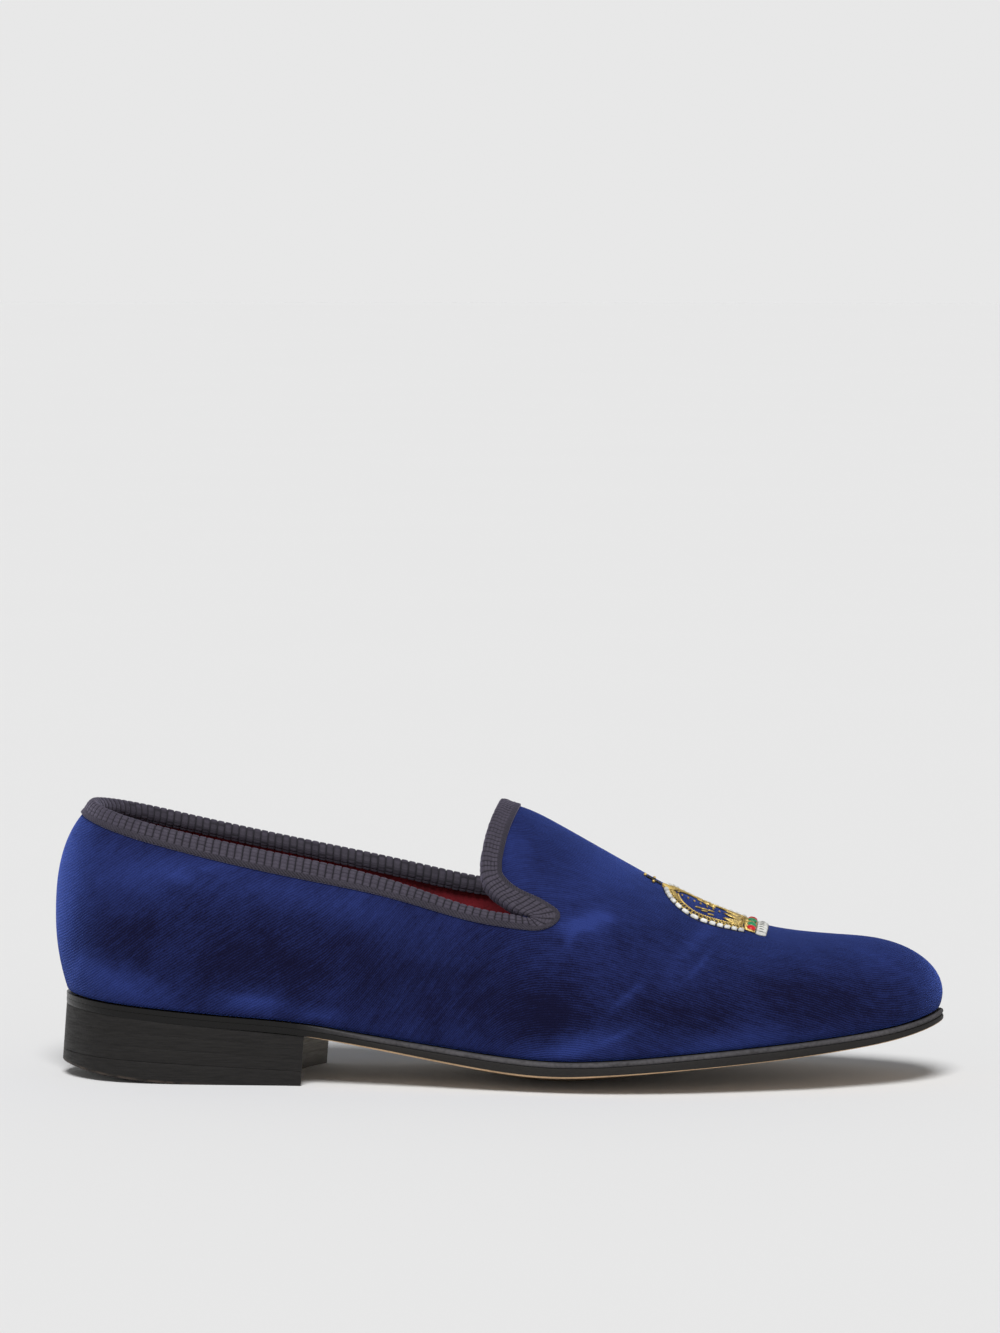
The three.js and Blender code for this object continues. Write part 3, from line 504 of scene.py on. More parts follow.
def new_mesh(name, points, faces=None, attributes=None, sharp=None, closed_rows=False):
    """A mesh in the frame's place from points and faces, or from a grid of points: close points
    welded, loose ones dropped, faces turned outwards, smooth but for edges sharper than an angle."""
    if faces is None:
        faces = grid_faces(*points.shape[:2], closed_rows=closed_rows)
    mesh = bpy.data.meshes.new(name)
    corners = (points.reshape(-1, 3) + PLACE).tolist()
    mesh.from_pydata(corners, [], faces if isinstance(faces, list) else faces.tolist())
    for label, values in (attributes or {}).items():
        store = mesh.attributes.new(label, "FLOAT", "POINT")
        store.data.foreach_set("value", np.ascontiguousarray(values, np.float32).ravel())
    shape = bmesh.new()
    shape.from_mesh(mesh)
    bmesh.ops.delete(shape, geom=[v for v in shape.verts if not v.link_faces], context="VERTS")
    bmesh.ops.remove_doubles(shape, verts=shape.verts, dist=WELD)
    bmesh.ops.dissolve_degenerate(shape, dist=WELD / 2, edges=shape.edges)
    bmesh.ops.recalc_face_normals(shape, faces=shape.faces)
    shape.to_mesh(mesh)
    shape.free()
    mesh.polygons.foreach_set("use_smooth", np.ones(len(mesh.polygons), bool))
    if sharp is not None:
        mesh.set_sharp_from_angle(angle=np.radians(sharp))
    mesh.update()
    return mesh


def new_piece(name, mesh, material, replaced=()):
    """An object that rides on the shoe's one body."""
    piece = bpy.data.objects.new(name, mesh)
    bpy.context.scene.collection.objects.link(piece)
    mesh.materials.append(material)
    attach(piece, "root")
    if replaced:
        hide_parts(*replaced)
    return piece


def thicken(piece, thickness, inwards=True):
    """A wall behind or in front of a skin."""
    wall = piece.modifiers.new("Wall", "SOLIDIFY")
    wall.thickness = thickness
    wall.offset = -1 if inwards else 1
    wall.use_even_offset = False


# Properties

def length_setting(name, description, default):
    """A length that a user may change."""
    return FloatProperty(name=name, description=description, default=default, unit="LENGTH")


def colour_setting(name, description, default):
    """A colour that a user may change."""
    return FloatVectorProperty(name=name, description=description, subtype="COLOR", default=default)


class SLIPPER_PG_sizes(bpy.types.PropertyGroup):
    length: length_setting("Length", "Back of the heel to the tip of the toe", UPPER_HIGH.x - UPPER_LOW.x)
    ball_width: length_setting("Ball width", "Feather line to feather line at the ball", 95 * MM)
    seat_width: length_setting("Seat width", "Feather line to feather line at the heel", 64 * MM)
    instep_height: length_setting("Instep height", "Top of the last at the throat", 93 * MM)
    toe_height: length_setting("Toe height", "Top of the last where the toe rounds", 48.4 * MM)
    counter_height: length_setting("Counter height", "Cut edge at the back of the heel", 92 * MM)
    notch_height: length_setting("Notch height", "Cut edge at the throat's notches", 57.6 * MM)
    counter_tuck: length_setting("Counter tuck", "How far the heel's back stands out", 4.3 * MM)
    widest_rise: length_setting("Widest rise", "Feather line to the heel's fullest line", 25 * MM)
    heel_height: length_setting("Heel height", "Floor to the sole at the heel's back", 24.2 * MM)
    toe_spring: length_setting("Toe spring", "Floor to the sole at the tip of the toe", 19.9 * MM)
    sole_round: length_setting("Sole round", "Rise of the sole's edge over its middle", 5.5 * MM)
    sole_thickness: length_setting("Sole thickness", "Thickness of the outsole", 3.1 * MM)


class SLIPPER_PG_colours(bpy.types.PropertyGroup):
    velvet: colour_setting("Velvet", "Lightest tone of the pile", (0.021, 0.035, 0.16))
    ribbon: colour_setting("Ribbon", "Ribs of the topline ribbon", (0.043, 0.036, 0.054))
    gold: colour_setting("Gold", "Bullion of the crown", (0.86, 0.56, 0.18))
    lining: colour_setting("Lining", "Leather lining and sock", (0.2, 0.018, 0.026))
    edge: colour_setting("Edge", "Ink of the sole's and heel's edges", (0.0115, 0.0105, 0.01))
    sole: colour_setting("Sole", "Bare sole leather", (0.5, 0.34, 0.2))


def last_of(context):
    """The last in the sizes that are set."""
    return Last(context.scene.slipper_sizes)


# Shapes of the upper

PILE_SLOPE_QUARTER = 36
PILE_SLOPE_VAMP = 4
VELVET_EDGE = 0.5 * MM
LINING_EDGE = 1.5 * MM

# Soft troughs and ridges of the velvet: place along as a share of the length, height as a share
# of the instep's, the side, turn in degrees, and length, width and rise in millimetres
CREASE_ROWS = table(
    "along height side turn long wide rise",
    (0.735, 0.53, -1, 38, 9, 2.2, -0.30), (0.722, 0.50, -1, 40, 9, 2.6, 0.22),
    (0.60, 0.40, -1, 12, 16, 4.0, -0.22), (0.235, 0.32, -1, -5, 13, 2.5, 0.35),
    (0.76, 0.20, -1, 6, 20, 3.0, 0.30), (0.45, 0.33, -1, -12, 22, 6.0, -0.30),
    (0.74, 0.52, 1, -38, 10, 2.4, -0.28), (0.62, 0.42, 1, -14, 18, 4.5, -0.25),
    (0.45, 0.36, 1, 14, 22, 6.0, -0.35), (0.25, 0.34, 1, 5, 14, 3.0, 0.30),
)

# Brushed places where the nap lies the other way and looks lighter, mixed with broad painted light and shade
# that is lighter high on the heel and the vamp and darker low along the side: as above, with their gain
NAP_AND_PAINTED_LIGHT_ROWS = table(
    "along height side turn long wide gain",
    (0.012, 0.70, -1, 80, 24, 6.0, 0.75), (0.012, 0.70, 1, 80, 24, 6.0, 0.7),
    (0.13, 0.78, -1, 8, 13, 4.5, 0.35), (0.235, 0.305, -1, -4, 9, 2.2, 0.8),
    (0.31, 0.265, -1, -6, 9, 1.8, 0.35), (0.604, 0.605, -1, 8, 6.5, 2.6, 1.0),
    (0.59, 0.56, -1, 60, 4, 1.6, 0.4), (0.625, 0.63, -1, -20, 5, 1.4, 0.5),
    (0.58, 0.50, -1, 20, 13, 5.0, 0.1), (0.76, 0.17, -1, 8, 20, 4.5, 0.5),
    (0.60, 0.18, -1, 20, 10, 3.5, 0.4), (0.625, 0.78, -1, 25, 12, 8.0, 0.35),
    (0.07, 0.39, -1, -20, 14, 4.0, 0.45), (0.735, 0.56, -1, 40, 9, 2.0, 0.35),
    (0.21, 0.80, 1, -8, 15, 5.0, 0.4), (0.62, 0.60, 1, 12, 14, 5.0, 0.6),
    (0.78, 0.20, 1, 5, 20, 4.5, 0.5), (0.40, 0.30, 1, 12, 18, 5.0, 0.35),
    (0.09, 0.40, 1, 15, 14, 4.0, 0.4),
    (0.05, 0.76, -1, 30, 24, 14, 0.2), (0.07, 0.36, -1, -10, 20, 6, 0.25),
    (0.28, 0.71, -1, -13, 36, 6, 0.3), (0.10, 0.55, -1, 12, 20, 7, -0.22),
    (0.28, 0.45, -1, 0, 42, 12, -0.3), (0.50, 0.34, -1, 0, 30, 14, -0.22),
    (0.575, 0.27, -1, 5, 14, 8, -0.32), (0.62, 0.72, -1, 30, 24, 12, 0.08),
    (0.52, 0.87, -1, -60, 16, 6, 0.35), (0.70, 0.30, -1, 0, 20, 8, -0.34),
    (0.88, 0.33, -1, -8, 26, 8, -0.34), (0.93, 0.46, -1, -30, 16, 5, 0.22),
    (0.42, 0.52, -1, -5, 20, 8, 0.04), (0.60, 0.17, -1, 12, 22, 5, 0.22),
    (0.655, 0.36, -1, 40, 7, 1.2, 0.35), (0.64, 0.21, -1, 25, 8, 1.4, 0.4),
    (0.57, 0.15, -1, 5, 9, 1.6, 0.3), (0.155, 0.755, -1, -14, 6, 1.8, 0.35),
    (0.19, 0.79, -1, 10, 7, 1.2, 0.3), (0.03, 0.40, -1, 60, 9, 1.8, 0.4),
    (0.115, 0.385, -1, -28, 6, 1.2, 0.3), (0.735, 0.47, -1, 48, 6, 1.0, 0.35),
    (0.80, 0.60, -1, -12, 12, 2.0, 0.2),
    (0.28, 0.45, 1, 0, 42, 12, -0.3), (0.60, 0.30, 1, 0, 30, 12, -0.25),
    (0.64, 0.70, 1, -30, 24, 12, 0.25), (0.06, 0.74, 1, -30, 26, 16, 0.28),
)


def hand_placed(last, points, rows, amount):
    """The sum over a table's rows of an amount times a bell shape, long and wide as the row says
    and turned in the side view, on that side of the shoe only."""
    x, y, z = (points[..., axis, None] for axis in range(3))
    out_x = x - rows["along"] * last.length
    out_z = z - rows["height"] * last.sizes.instep_height
    turn = np.radians(rows["turn"])
    along = (out_x * np.cos(turn) + out_z * np.sin(turn)) / (rows["long"] * MM)
    over = (out_z * np.cos(turn) - out_x * np.sin(turn)) / (rows["wide"] * MM)
    side = smooth_step(-4 * MM, 4 * MM, rows["side"] * (y - last.middle(x)))
    return (rows[amount] * side * np.exp(-along ** 2 - over ** 2)).sum(-1)


def upper_points(last, growth, inner=False):
    """The upper's skin as a grid: a column for each half section and rows from its turned-in hem
    up the wall and over to the crest. Rows of the hem follow a quarter circle."""
    place = column(last.ring(*UPPER_COLUMNS))
    rise = last.section(place, 0).rise
    turn = np.linspace(0, QUARTER, HEM_ROWS)
    if inner:
        hem_up, inset = np.array([LINING_FOOT]), np.zeros(1)
    else:
        hem_up = np.concatenate([[0], HEM * (1 - np.cos(turn))])
        inset = np.concatenate([[HEM + TURN_IN], HEM * (1 - np.sin(turn))])
    start = hem_up[-1] / rise
    wall = start + (1 - start) * np.linspace(0, 1, WALL_ROWS + 1)[1:]
    top = np.broadcast_to(1 + np.linspace(0, 1, TOP_ROWS + 1)[1:], (len(rise), TOP_ROWS))
    rows = np.concatenate([hem_up / rise, wall, top], 1)
    inset = np.concatenate([inset, np.zeros(rows.shape[1] - len(inset))])
    points = last.skin(place, rows, growth, inset)
    if inner:
        return points
    swell = hand_placed(last, points, CREASE_ROWS, "rise") * MM
    return last.skin(place, rows, growth + swell, inset)


def pile_phase(last, points):
    """Place across the velvet's pile rows: distance down from the crest along each half section,
    sheared along the shoe by the rows' slope, which eases from the quarter to the vamp."""
    step = np.linalg.norm(np.diff(points, axis=1), axis=-1)
    down = np.concatenate([np.cumsum(step[:, ::-1], 1)[:, ::-1], np.zeros((len(points), 1))], 1)
    along = np.linspace(-20 * MM, last.length + 20 * MM, 400)
    slope = np.radians(PILE_SLOPE_QUARTER + (PILE_SLOPE_VAMP - PILE_SLOPE_QUARTER)
                       * smooth_step(0.3, 0.66, along / last.length))
    shear = np.concatenate([[0], np.cumsum(np.tan(slope[1:]) * np.diff(along))])
    x = points[..., 0]
    return -(down + np.interp(x, along, shear)) * np.cos(np.interp(x, along, slope))


def velvet_mesh(last):
    """The outer skin, cut a little below the edge of the opening, with its pile, and its brushing mixed with
    painted light and shade.
    """
    points = upper_points(last, 0)
    return clipped_mesh("upper_velvet", points, last.opening(points) + VELVET_EDGE, {
        "pile": pile_phase(last, points),
        "brushed_and_painted_light": hand_placed(last, points, NAP_AND_PAINTED_LIGHT_ROWS, "gain"),
    })


def lining_mesh(last):
    """The inner skin, cut lower, under the ribbon's inside."""
    points = upper_points(last, -WALL, inner=True)
    return clipped_mesh("upper_lining", points, last.opening(points) + LINING_EDGE, {})


def clipped_mesh(name, points, field, extra):
    """A mesh of a clipped grid that carries more values than its places."""
    stacked = np.concatenate([points] + [value[..., None] for value in extra.values()], -1)
    flat, faces = clipped_grid(stacked, field)
    return new_mesh(name, flat[:, :3], faces, {label: flat[:, 3 + i] for i, label in enumerate(extra)})


# Ribbon round the opening

RIBBON_CLEAR = 0.2 * MM
RIBBON_INSIDE_COLLAR = 1.6 * MM
RIBBON_INSIDE_TONGUE = 5 * MM
RIBBON_ROLL = 1.2 * MM
RIBBON_TONGUE = 5.9 * MM
RIB_STEPS = 8
RIB_HEIGHT = 0.42 * MM
RIB_PITCH_COLLAR = 2.6
RIB_PITCH_TONGUE = 1.7
CELL = 1.15 * MM
# Painted shade on the ribbon's inside face
INSIDE_SHADE = 0.72
FACE_OUT = 1.12 * MM
FACE_IN = -WALL - 0.95 * MM
FACE_THICKNESS = 0.62 * MM
BORDER_WIDTH = 1.3 * MM
BORDER_STITCH = 0.9 * MM

# Width of the ribbon below the collar's cut edge
RIBBON_WIDTHS = table(
    "along wide", (-0.02, 5.0), (0.1, 5.2), (0.287, 5.6), (0.4, 4.3), (0.48, 3.4), (0.54, 3.2),
)

# Ribs round the notch, from the collar to the tongue: both ends from the notch in millimetres,
# how much of the roll's height is left, the ribs' pitch and the share of the tongue's reach inside
NOTCH_ROWS = table(
    "inner_x inner_z outer_x outer_z roll pitch inside",
    (-5.4, 0.7, -5.4, -2.5, 0.85, 2.4, 0.2), (-1.2, 0.25, -0.6, -3.0, 0.5, 2.2, 0.4),
    (0.9, 0.15, 4.0, -3.1, 0.25, 2.0, 0.6), (1.8, 0.3, 8.9, -1.6, 0.15, 2.0, 0.8),
    (1.8, 0.6, 11.2, 1.6, 0.15, 2.0, 1), (0, 1.6, 7.2, 4.9, 0.25, 2.0, 1),
    (-3.3, 3.0, 3.3, 6.9, 0.5, 2.0, 1), (-7.7, 6.0, -1.7, 8.9, 0.85, 1.9, 1),
)


def across_edge(last, edge, width, ahead):
    """Points on the skin at a width square to an edge, on the side where an axis grows."""
    way = np.gradient(edge, axis=0)
    out = last.on_skin(edge, MM) - last.on_skin(edge)
    aside = np.cross(way, out)
    aside /= np.linalg.norm(aside, axis=1)[:, None]
    aside *= np.sign(aside @ ahead)[:, None]
    return last.on_skin(edge + aside * np.reshape(width, (-1, 1)))


def half_ribbon(last, side):
    """Guide rows of the ribbon on one side, from the heel's back to the crest: inner end, outer
    end, roll and rib pitch."""
    turn = np.linspace(QUARTER, 0, 12, endpoint=False)
    along = np.linspace(last.heel_axis, last.notch_x - 12 * MM, 26)
    x = np.concatenate([np.full(len(turn), last.heel_axis), along])
    way_x = np.concatenate([-np.sin(turn), np.zeros(len(along))])
    way_y = np.concatenate([np.cos(turn), np.ones(len(along))]) * side
    collar = last.collar_edge(last.station(x, way_x, way_y))
    width = smooth_curve(RIBBON_WIDTHS, "along", "wide")(collar[:, 0] / last.length) * MM
    below = across_edge(last, collar, width, np.array([0, 0, -1]))
    tongue = last.tongue_edge(np.linspace(1.2, 2, 80), side)
    start = NOTCH_ROWS["inner_z"][-1] * MM + last.sizes.notch_height + 1.5 * MM
    tongue = tongue[tongue[:, 2] > start][::4]
    tongue[-1] = last.tongue_edge(np.array([2.0]), side)[0]
    over = across_edge(last, tongue, np.full(len(tongue), RIBBON_TONGUE), np.array([1, 0, 0]))
    ties = [notch_point(last, NOTCH_ROWS[end + "_x"], NOTCH_ROWS[end + "_z"], side)
            for end in ("inner", "outer")]
    inner = np.concatenate([collar, ties[0], tongue])
    outer = np.concatenate([below, ties[1], over])
    roll = np.concatenate([np.ones(len(collar)), NOTCH_ROWS["roll"], np.ones(len(tongue))])
    pitch = np.concatenate([
        np.full(len(collar), RIB_PITCH_COLLAR), NOTCH_ROWS["pitch"], np.full(len(tongue), RIB_PITCH_TONGUE)])
    inside = np.concatenate([np.zeros(len(collar)), NOTCH_ROWS["inside"], np.ones(len(tongue))])
    return np.concatenate([inner, outer, roll[:, None], pitch[:, None], inside[:, None]], 1)


def notch_point(last, x, z, side):
    """Points on the skin at places in the side view, given from the notch."""
    x = last.notch_x + x * MM
    place = last.station(x, np.zeros(len(x)), np.full(len(x), float(side)))
    part = last.section(place, 0)
    low = part.foot + part.rise
    y = place.y
    for _ in range(4):
        height = last.sizes.notch_height + z * MM + last.medial_lift(COLLAR_ROWS["medial"][-1], y)
        over = (height - low) / (part.crest - low)
        distance = (part.reach + part.tuck) * (1 - over ** part.fullness) ** (1 / part.fullness)
        y = place.y + side * distance
    return point_at(place, distance, height)


def ribbon_guides(last):
    """Columns of the ribbon a fraction of a rib apart, all round the opening."""
    lateral, medial = half_ribbon(last, -1), half_ribbon(last, 1)
    knots = np.concatenate([lateral, medial[::-1][1:-1]])
    gap = np.linalg.norm(np.roll(knots, -1, 0)[:, :6] - knots[:, :6], axis=1) ** 0.5
    dense = ring_curve(knots, GUIDE_STEPS, gap=gap)
    middle = dense[:, :3] * 0.5 + dense[:, 3:6] * 0.5
    step = np.linalg.norm(np.roll(middle, -1, 0) - middle, axis=1) / (dense[:, 7] * MM)
    phase = np.concatenate([[0], np.cumsum(step)])
    ribs = int(round(phase[-1]))
    phase *= ribs / phase[-1]
    place = np.arange(ribs * RIB_STEPS) / RIB_STEPS
    looped = np.concatenate([dense, dense[:1]])
    return np.stack([np.interp(place, phase, looped[:, i]) for i in range(looped.shape[1])], 1), place


def ribbon_mesh(last):
    """The folded ribbon: its section runs up the outside, round a roll over the cut edge and down
    the inside, and back close to the upper. Ribs are rounded bars across it, broken into cells."""
    guide, phase = ribbon_guides(last)
    inner, outer, roll = guide[:, None, :3], guide[:, None, 3:6], guide[:, None, 6] * RIBBON_ROLL
    deep = RIBBON_INSIDE_COLLAR + (RIBBON_INSIDE_TONGUE - RIBBON_INSIDE_COLLAR) * guide[:, None, 8].clip(0, 1)
    wide = np.linalg.norm(outer - inner, axis=-1)
    face = np.linspace(1, 0, FACE_ROWS)
    turn = np.linspace(0, np.pi, ROLL_ROWS + 2)[1:-1]
    inside = np.linspace(0, 1, INSIDE_ROWS)
    thick = FACE_THICKNESS + (FACE_OUT - FACE_THICKNESS) * smooth_step(3.4 * MM, 0.8 * MM, face * wide)
    middle, half = (FACE_OUT + FACE_IN) / 2, (FACE_OUT - FACE_IN) / 2
    level, once = np.ones(len(inside)), np.ones(1)
    parts = [
        (face * wide, thick, 0 * face, 1 + 0 * face),
        (-roll * np.sin(turn), middle + half * np.cos(turn), -np.sin(turn), np.cos(turn)),
        (inside * deep, FACE_IN * level, 0 * level, -level),
        *((off, out * once, 0 * once, 0 * once) for off, out in (
            (deep, -WALL - RIBBON_CLEAR), (-0.25 * roll, -WALL - RIBBON_CLEAR),
            (-0.25 * roll, RIBBON_CLEAR), (wide, RIBBON_CLEAR))),
    ]
    off, out, way_off, way_out = (
        np.concatenate([np.broadcast_to(part[i], (len(phase), part[1].shape[-1])) for part in parts], 1)
        for i in range(4))
    raised = rib_height(phase[:, None], off, out, wide, deep)
    # Painted shade: darker in the grooves between ribs, by the ribs' height, and darker still on the inside
    # face
    rib_painted_shade = raised / RIB_HEIGHT * np.where(out < -WALL / 2, INSIDE_SHADE, 1)
    off, out = off + way_off * raised, out + way_out * raised
    points = last.on_skin(inner + (outer - inner) * (off / wide)[..., None], out)
    return new_mesh("topline_ribbon", points, attributes={"rib": rib_painted_shade, "across": off}, closed_rows=True)


def rib_height(phase, off, out, wide, deep):
    """Rounded bars one rib apart, broken across by grooves that change places from rib to rib,
    and a flatter slanted stitch along the outer border."""
    share = phase % 1
    bar = np.sqrt((1 - (2 * share - 1) ** 4).clip(0))
    length = off + np.where(out < -WALL / 2, deep, 0)
    cell = (length / CELL + 0.12 * np.sin(2.4 * np.floor(phase))) % 1
    broken = np.sqrt((1 - (2 * cell - 1) ** 4).clip(0))
    body = RIB_HEIGHT * bar * (0.2 + 0.8 * broken)
    slant = (2 * phase + (wide - off) / BORDER_STITCH) % 1
    border = 0.75 * RIB_HEIGHT * np.sqrt((1 - (2 * slant - 1) ** 2).clip(0))
    edge = smooth_step(wide - BORDER_WIDTH - 0.6 * MM, wide - BORDER_WIDTH, off)
    return body * (1 - edge) + border * edge


# Sole, welt, insole and heel

BREAST_AT = 89 * MM
BREAST_HOLLOW = 8 * MM
BREAST_TURN = 3 * MM
HEEL_RAKE = 1.8 * MM
HEEL_TAPER = 3.4 * MM
TOP_PIECE_FRONT = 5 * MM
TOP_PIECE_BACK = 9.2 * MM
HEEL_ROLL_START = 57 * MM
HEEL_ROLL_RISE = 5.8 * MM
LIFTS = 3
LIFT_SEAM = 0.01 * MM
LIFT_SOFT = 0.03 * MM
TREAD_SEAM = 0.08 * MM
TREAD_SOFT = 0.18 * MM
WAIST_FADE = 30 * MM
HEEL_LEDGE = 0.6 * MM
BEVEL_HEEL = 0.1 * MM
BEVEL_WAIST = 0.5 * MM
SOCK_THICKNESS = 0.9 * MM

# The sock's rounded rim and pressed line: millimetres inwards, and share of its thickness
SOCK_PRESSED = ((0, 0.45), (0.25, 0.85), (0.8, 1), (2.4, 1), (2.75, 0.72), (3.1, 1))


def ledge(x):
    """How far the sole stands out past the feather line: nearly flush at the heel."""
    ahead = smooth_step(BREAST_AT - 10 * MM, BREAST_AT + WAIST_FADE, x)
    return HEEL_LEDGE + (WELT_LEDGE - HEEL_LEDGE) * ahead


def layers(place, rows):
    """A grid of half sections row by row: each row is a distance out from the middle line and a
    height that is worked out from the row's own places along the shoe."""
    made = []
    for distance, height in rows:
        x = place.x + place.way_x * distance
        y = place.y + place.way_y * distance
        made.append(np.stack(np.broadcast_arrays(x, y, height(x)), -1))
    return np.concatenate(made, 1)


def sole_ring(last):
    """Half sections all round, for the pieces under the upper."""
    return column(last.ring(*SOLE_COLUMNS))


def fore(place):
    """0 at the heel and 1 in front of the waist, at a half section's rim."""
    x = place.x + place.way_x * place.reach
    return smooth_step(BREAST_AT - 4 * MM, BREAST_AT + WAIST_FADE, x)


def outsole_mesh(last):
    """Level top, slightly rounded edge, bare bevel and rounded underside with a flat tread."""
    place = sole_ring(last)
    x = place.x + place.way_x * place.reach
    edge = place.reach + ledge(x)
    front = fore(place)
    toe = smooth_step(0.55 * last.length, 0.78 * last.length, x)
    bevel = BEVEL_HEEL + BEVEL_WAIST * front * (1 - 0.8 * toe)
    groove = 0.3 * MM * front + 0.03 * MM
    thick = last.share("sole", "thick", place.x + place.way_x * edge) * last.sizes.sole_thickness
    top, foot = last.sole_top, last.sole_edge
    inked = [(edge * share, top) for share in (0, 0.3, 0.6, 0.85, 0.96)] + [
        (edge - groove, top),
        (edge - 0.3 * groove, lambda x: top(x) - 0.7 * groove),
        (edge + 0.08 * MM, lambda x: top(x) - 0.45 * thick),
        (edge, lambda x: foot(x) + bevel + 0.04 * MM),
    ]
    cut = [(edge - 0.03 * MM, lambda x: foot(x) + bevel), (edge - bevel, foot)]
    under = [((edge - bevel) * share, lambda x, share=share: last.sole_under(x, share))
             for share in (0.97, 0.9, 0.8, 0.68, 0.55, 0.42, 0.3, 0.18, 0.08, 0)]
    points = layers(place, inked + cut + under)
    bare = (np.repeat([0.0, 1.0, 2.0], [len(inked), len(cut), len(under)])
            * smooth_step(BREAST_AT - 3 * MM, BREAST_AT + 4 * MM, points[..., 0]))
    return new_mesh("outsole_leather", points, attributes={"bare": bare}, sharp=32)


def welt_mesh(last):
    """A strip between sole and upper: its outer edge is upright at the heel and a soft round bead
    in front of it."""
    place = sole_ring(last)
    front = fore(place)
    outside = place.reach + ledge(place.x + place.way_x * place.reach)
    round_off = 0.05 * MM + 0.7 * MM * front
    low = lambda x: last.sole_top(x) + 0.05 * MM
    high = last.welt_top
    inside = place.reach - WELT_INSIDE
    tall = (WELT_THICKNESS + SEAM) / 2
    rows = [(inside, low), (outside - 2 * MM, low)]
    for angle in np.linspace(-QUARTER, QUARTER, 9):
        level = tall + (tall - 0.03 * MM) * np.sin(angle)
        rows.append((outside - round_off * (1 - np.cos(angle)), lambda x, level=level: low(x) + level * 0.97))
    rows += [(outside - 2.6 * MM, high), (inside, high)]
    return new_mesh("welt_strip", layers(place, rows), sharp=50, closed_rows=True)


def insole_mesh(last):
    """Board with a rim on the welt and a rib inside it."""
    place = sole_ring(last)
    rib = place.reach - WELT_INSIDE - SEAM
    rim = place.reach - WALL - SEAM
    low = lambda x: last.sole_top(x) + SEAM
    top = lambda x: last.feather(x) + INSOLE_THICKNESS - SOCK_THICKNESS - 0.05 * MM
    shares = (0, 0.3, 0.6, 0.85, 1)
    rows = [(rim * share, top) for share in shares] + [(rim, last.feather), (rib, last.feather)]
    rows += [(rib * share, low) for share in shares[::-1]]
    return new_mesh("insole_board", layers(place, rows), sharp=40)


def sock_mesh(last):
    """Thin leather sock over the insole, with a rounded rim and a shallow pressed line inside it."""
    place = sole_ring(last)
    rim = place.reach - WALL - SEAM
    base = lambda x: last.feather(x) + INSOLE_THICKNESS - SOCK_THICKNESS
    rows = [(rim * share, base) for share in (0, 0.5, 0.9)] + [(rim - 0.2 * MM, base)]
    rows += [(rim - inset * MM, lambda x, level=level: base(x) + level * SOCK_THICKNESS)
             for inset, level in SOCK_PRESSED]
    flat = rim - SOCK_PRESSED[-1][0] * MM
    rows += [(flat * share, lambda x: base(x) + SOCK_THICKNESS) for share in (0.86, 0.7, 0.5, 0.3, 0.12, 0)]
    return new_mesh("sock_lining", layers(place, rows), sharp=60)


def heel_plan(last):
    """The heel's outline at the sole, in plan: the seat's edge and a hollow front face between two
    corners that are rounded by small parabolas. Also how much each point belongs to the front."""
    half = np.linspace(last.heel_axis, BREAST_AT - 0.6 * MM, 36)
    back = np.linspace(last.heel_axis, BREAST_AT + BREAST_TURN - 0.6 * MM, 38)
    turn = np.linspace(np.pi, 0, 64)[1:-1]

    def rim(x, way_x, way_y):
        """The seat's edge in plan."""
        place = last.station(x, way_x, way_y)
        return point_at(place, place.reach + ledge(x + way_x * place.reach), 0)[:, :2]

    lateral = rim(half, 0 * half, 0 * half - 1)
    medial = rim(back, 0 * back, 0 * back + 1)[::-1]
    heel = rim(np.full(len(turn), last.heel_axis), -np.sin(turn), -np.cos(turn))
    corner_a = rim(np.array([BREAST_AT]), np.zeros(1), -np.ones(1))[0]
    corner_b = rim(np.array([BREAST_AT + BREAST_TURN]), np.zeros(1), np.ones(1))[0]
    share = np.linspace(0, 1, 42)[1:-1, None]
    breast = corner_a * (1 - share) + corner_b * share
    breast[:, 0] -= BREAST_HOLLOW * (1 - (2 * share[:, 0] - 1) ** 2)

    def rounded(before, corner, after):
        """A parabola through two points, drawn towards the corner between them."""
        part = np.linspace(0, 1, 6)[1:-1, None]
        return before * (1 - part) ** 2 + corner * 2 * part * (1 - part) + after * part ** 2

    first = rounded(lateral[-1], corner_a, breast[0])
    last_turn = rounded(breast[-1], corner_b, medial[0])
    outline = np.concatenate([lateral, first, breast, last_turn, medial, heel])
    front = np.concatenate([np.zeros(len(lateral)), np.linspace(0, 1, len(first)), np.ones(len(breast)),
                            np.linspace(1, 0, len(last_turn)), np.zeros(len(medial) + len(heel))])
    return outline, front


def heel_joint(last, share, lift):
    """Height of a joint between the heel's layers: straight from the back to the breast, and
    lifted for the seam."""
    back = TOP_PIECE_BACK + (last.sole_edge(0.0) - TOP_PIECE_BACK) * share
    front = TOP_PIECE_FRONT + (last.sole_edge(BREAST_AT) - TOP_PIECE_FRONT) * share
    return lambda x: back + (front - back) * x / BREAST_AT + lift


def tread(x):
    """Underside of the heel: on the floor in front, rolled up behind by a parabola."""
    back = np.maximum(0, (HEEL_ROLL_START - x) / HEEL_ROLL_START)
    return HEEL_ROLL_RISE * back ** 2


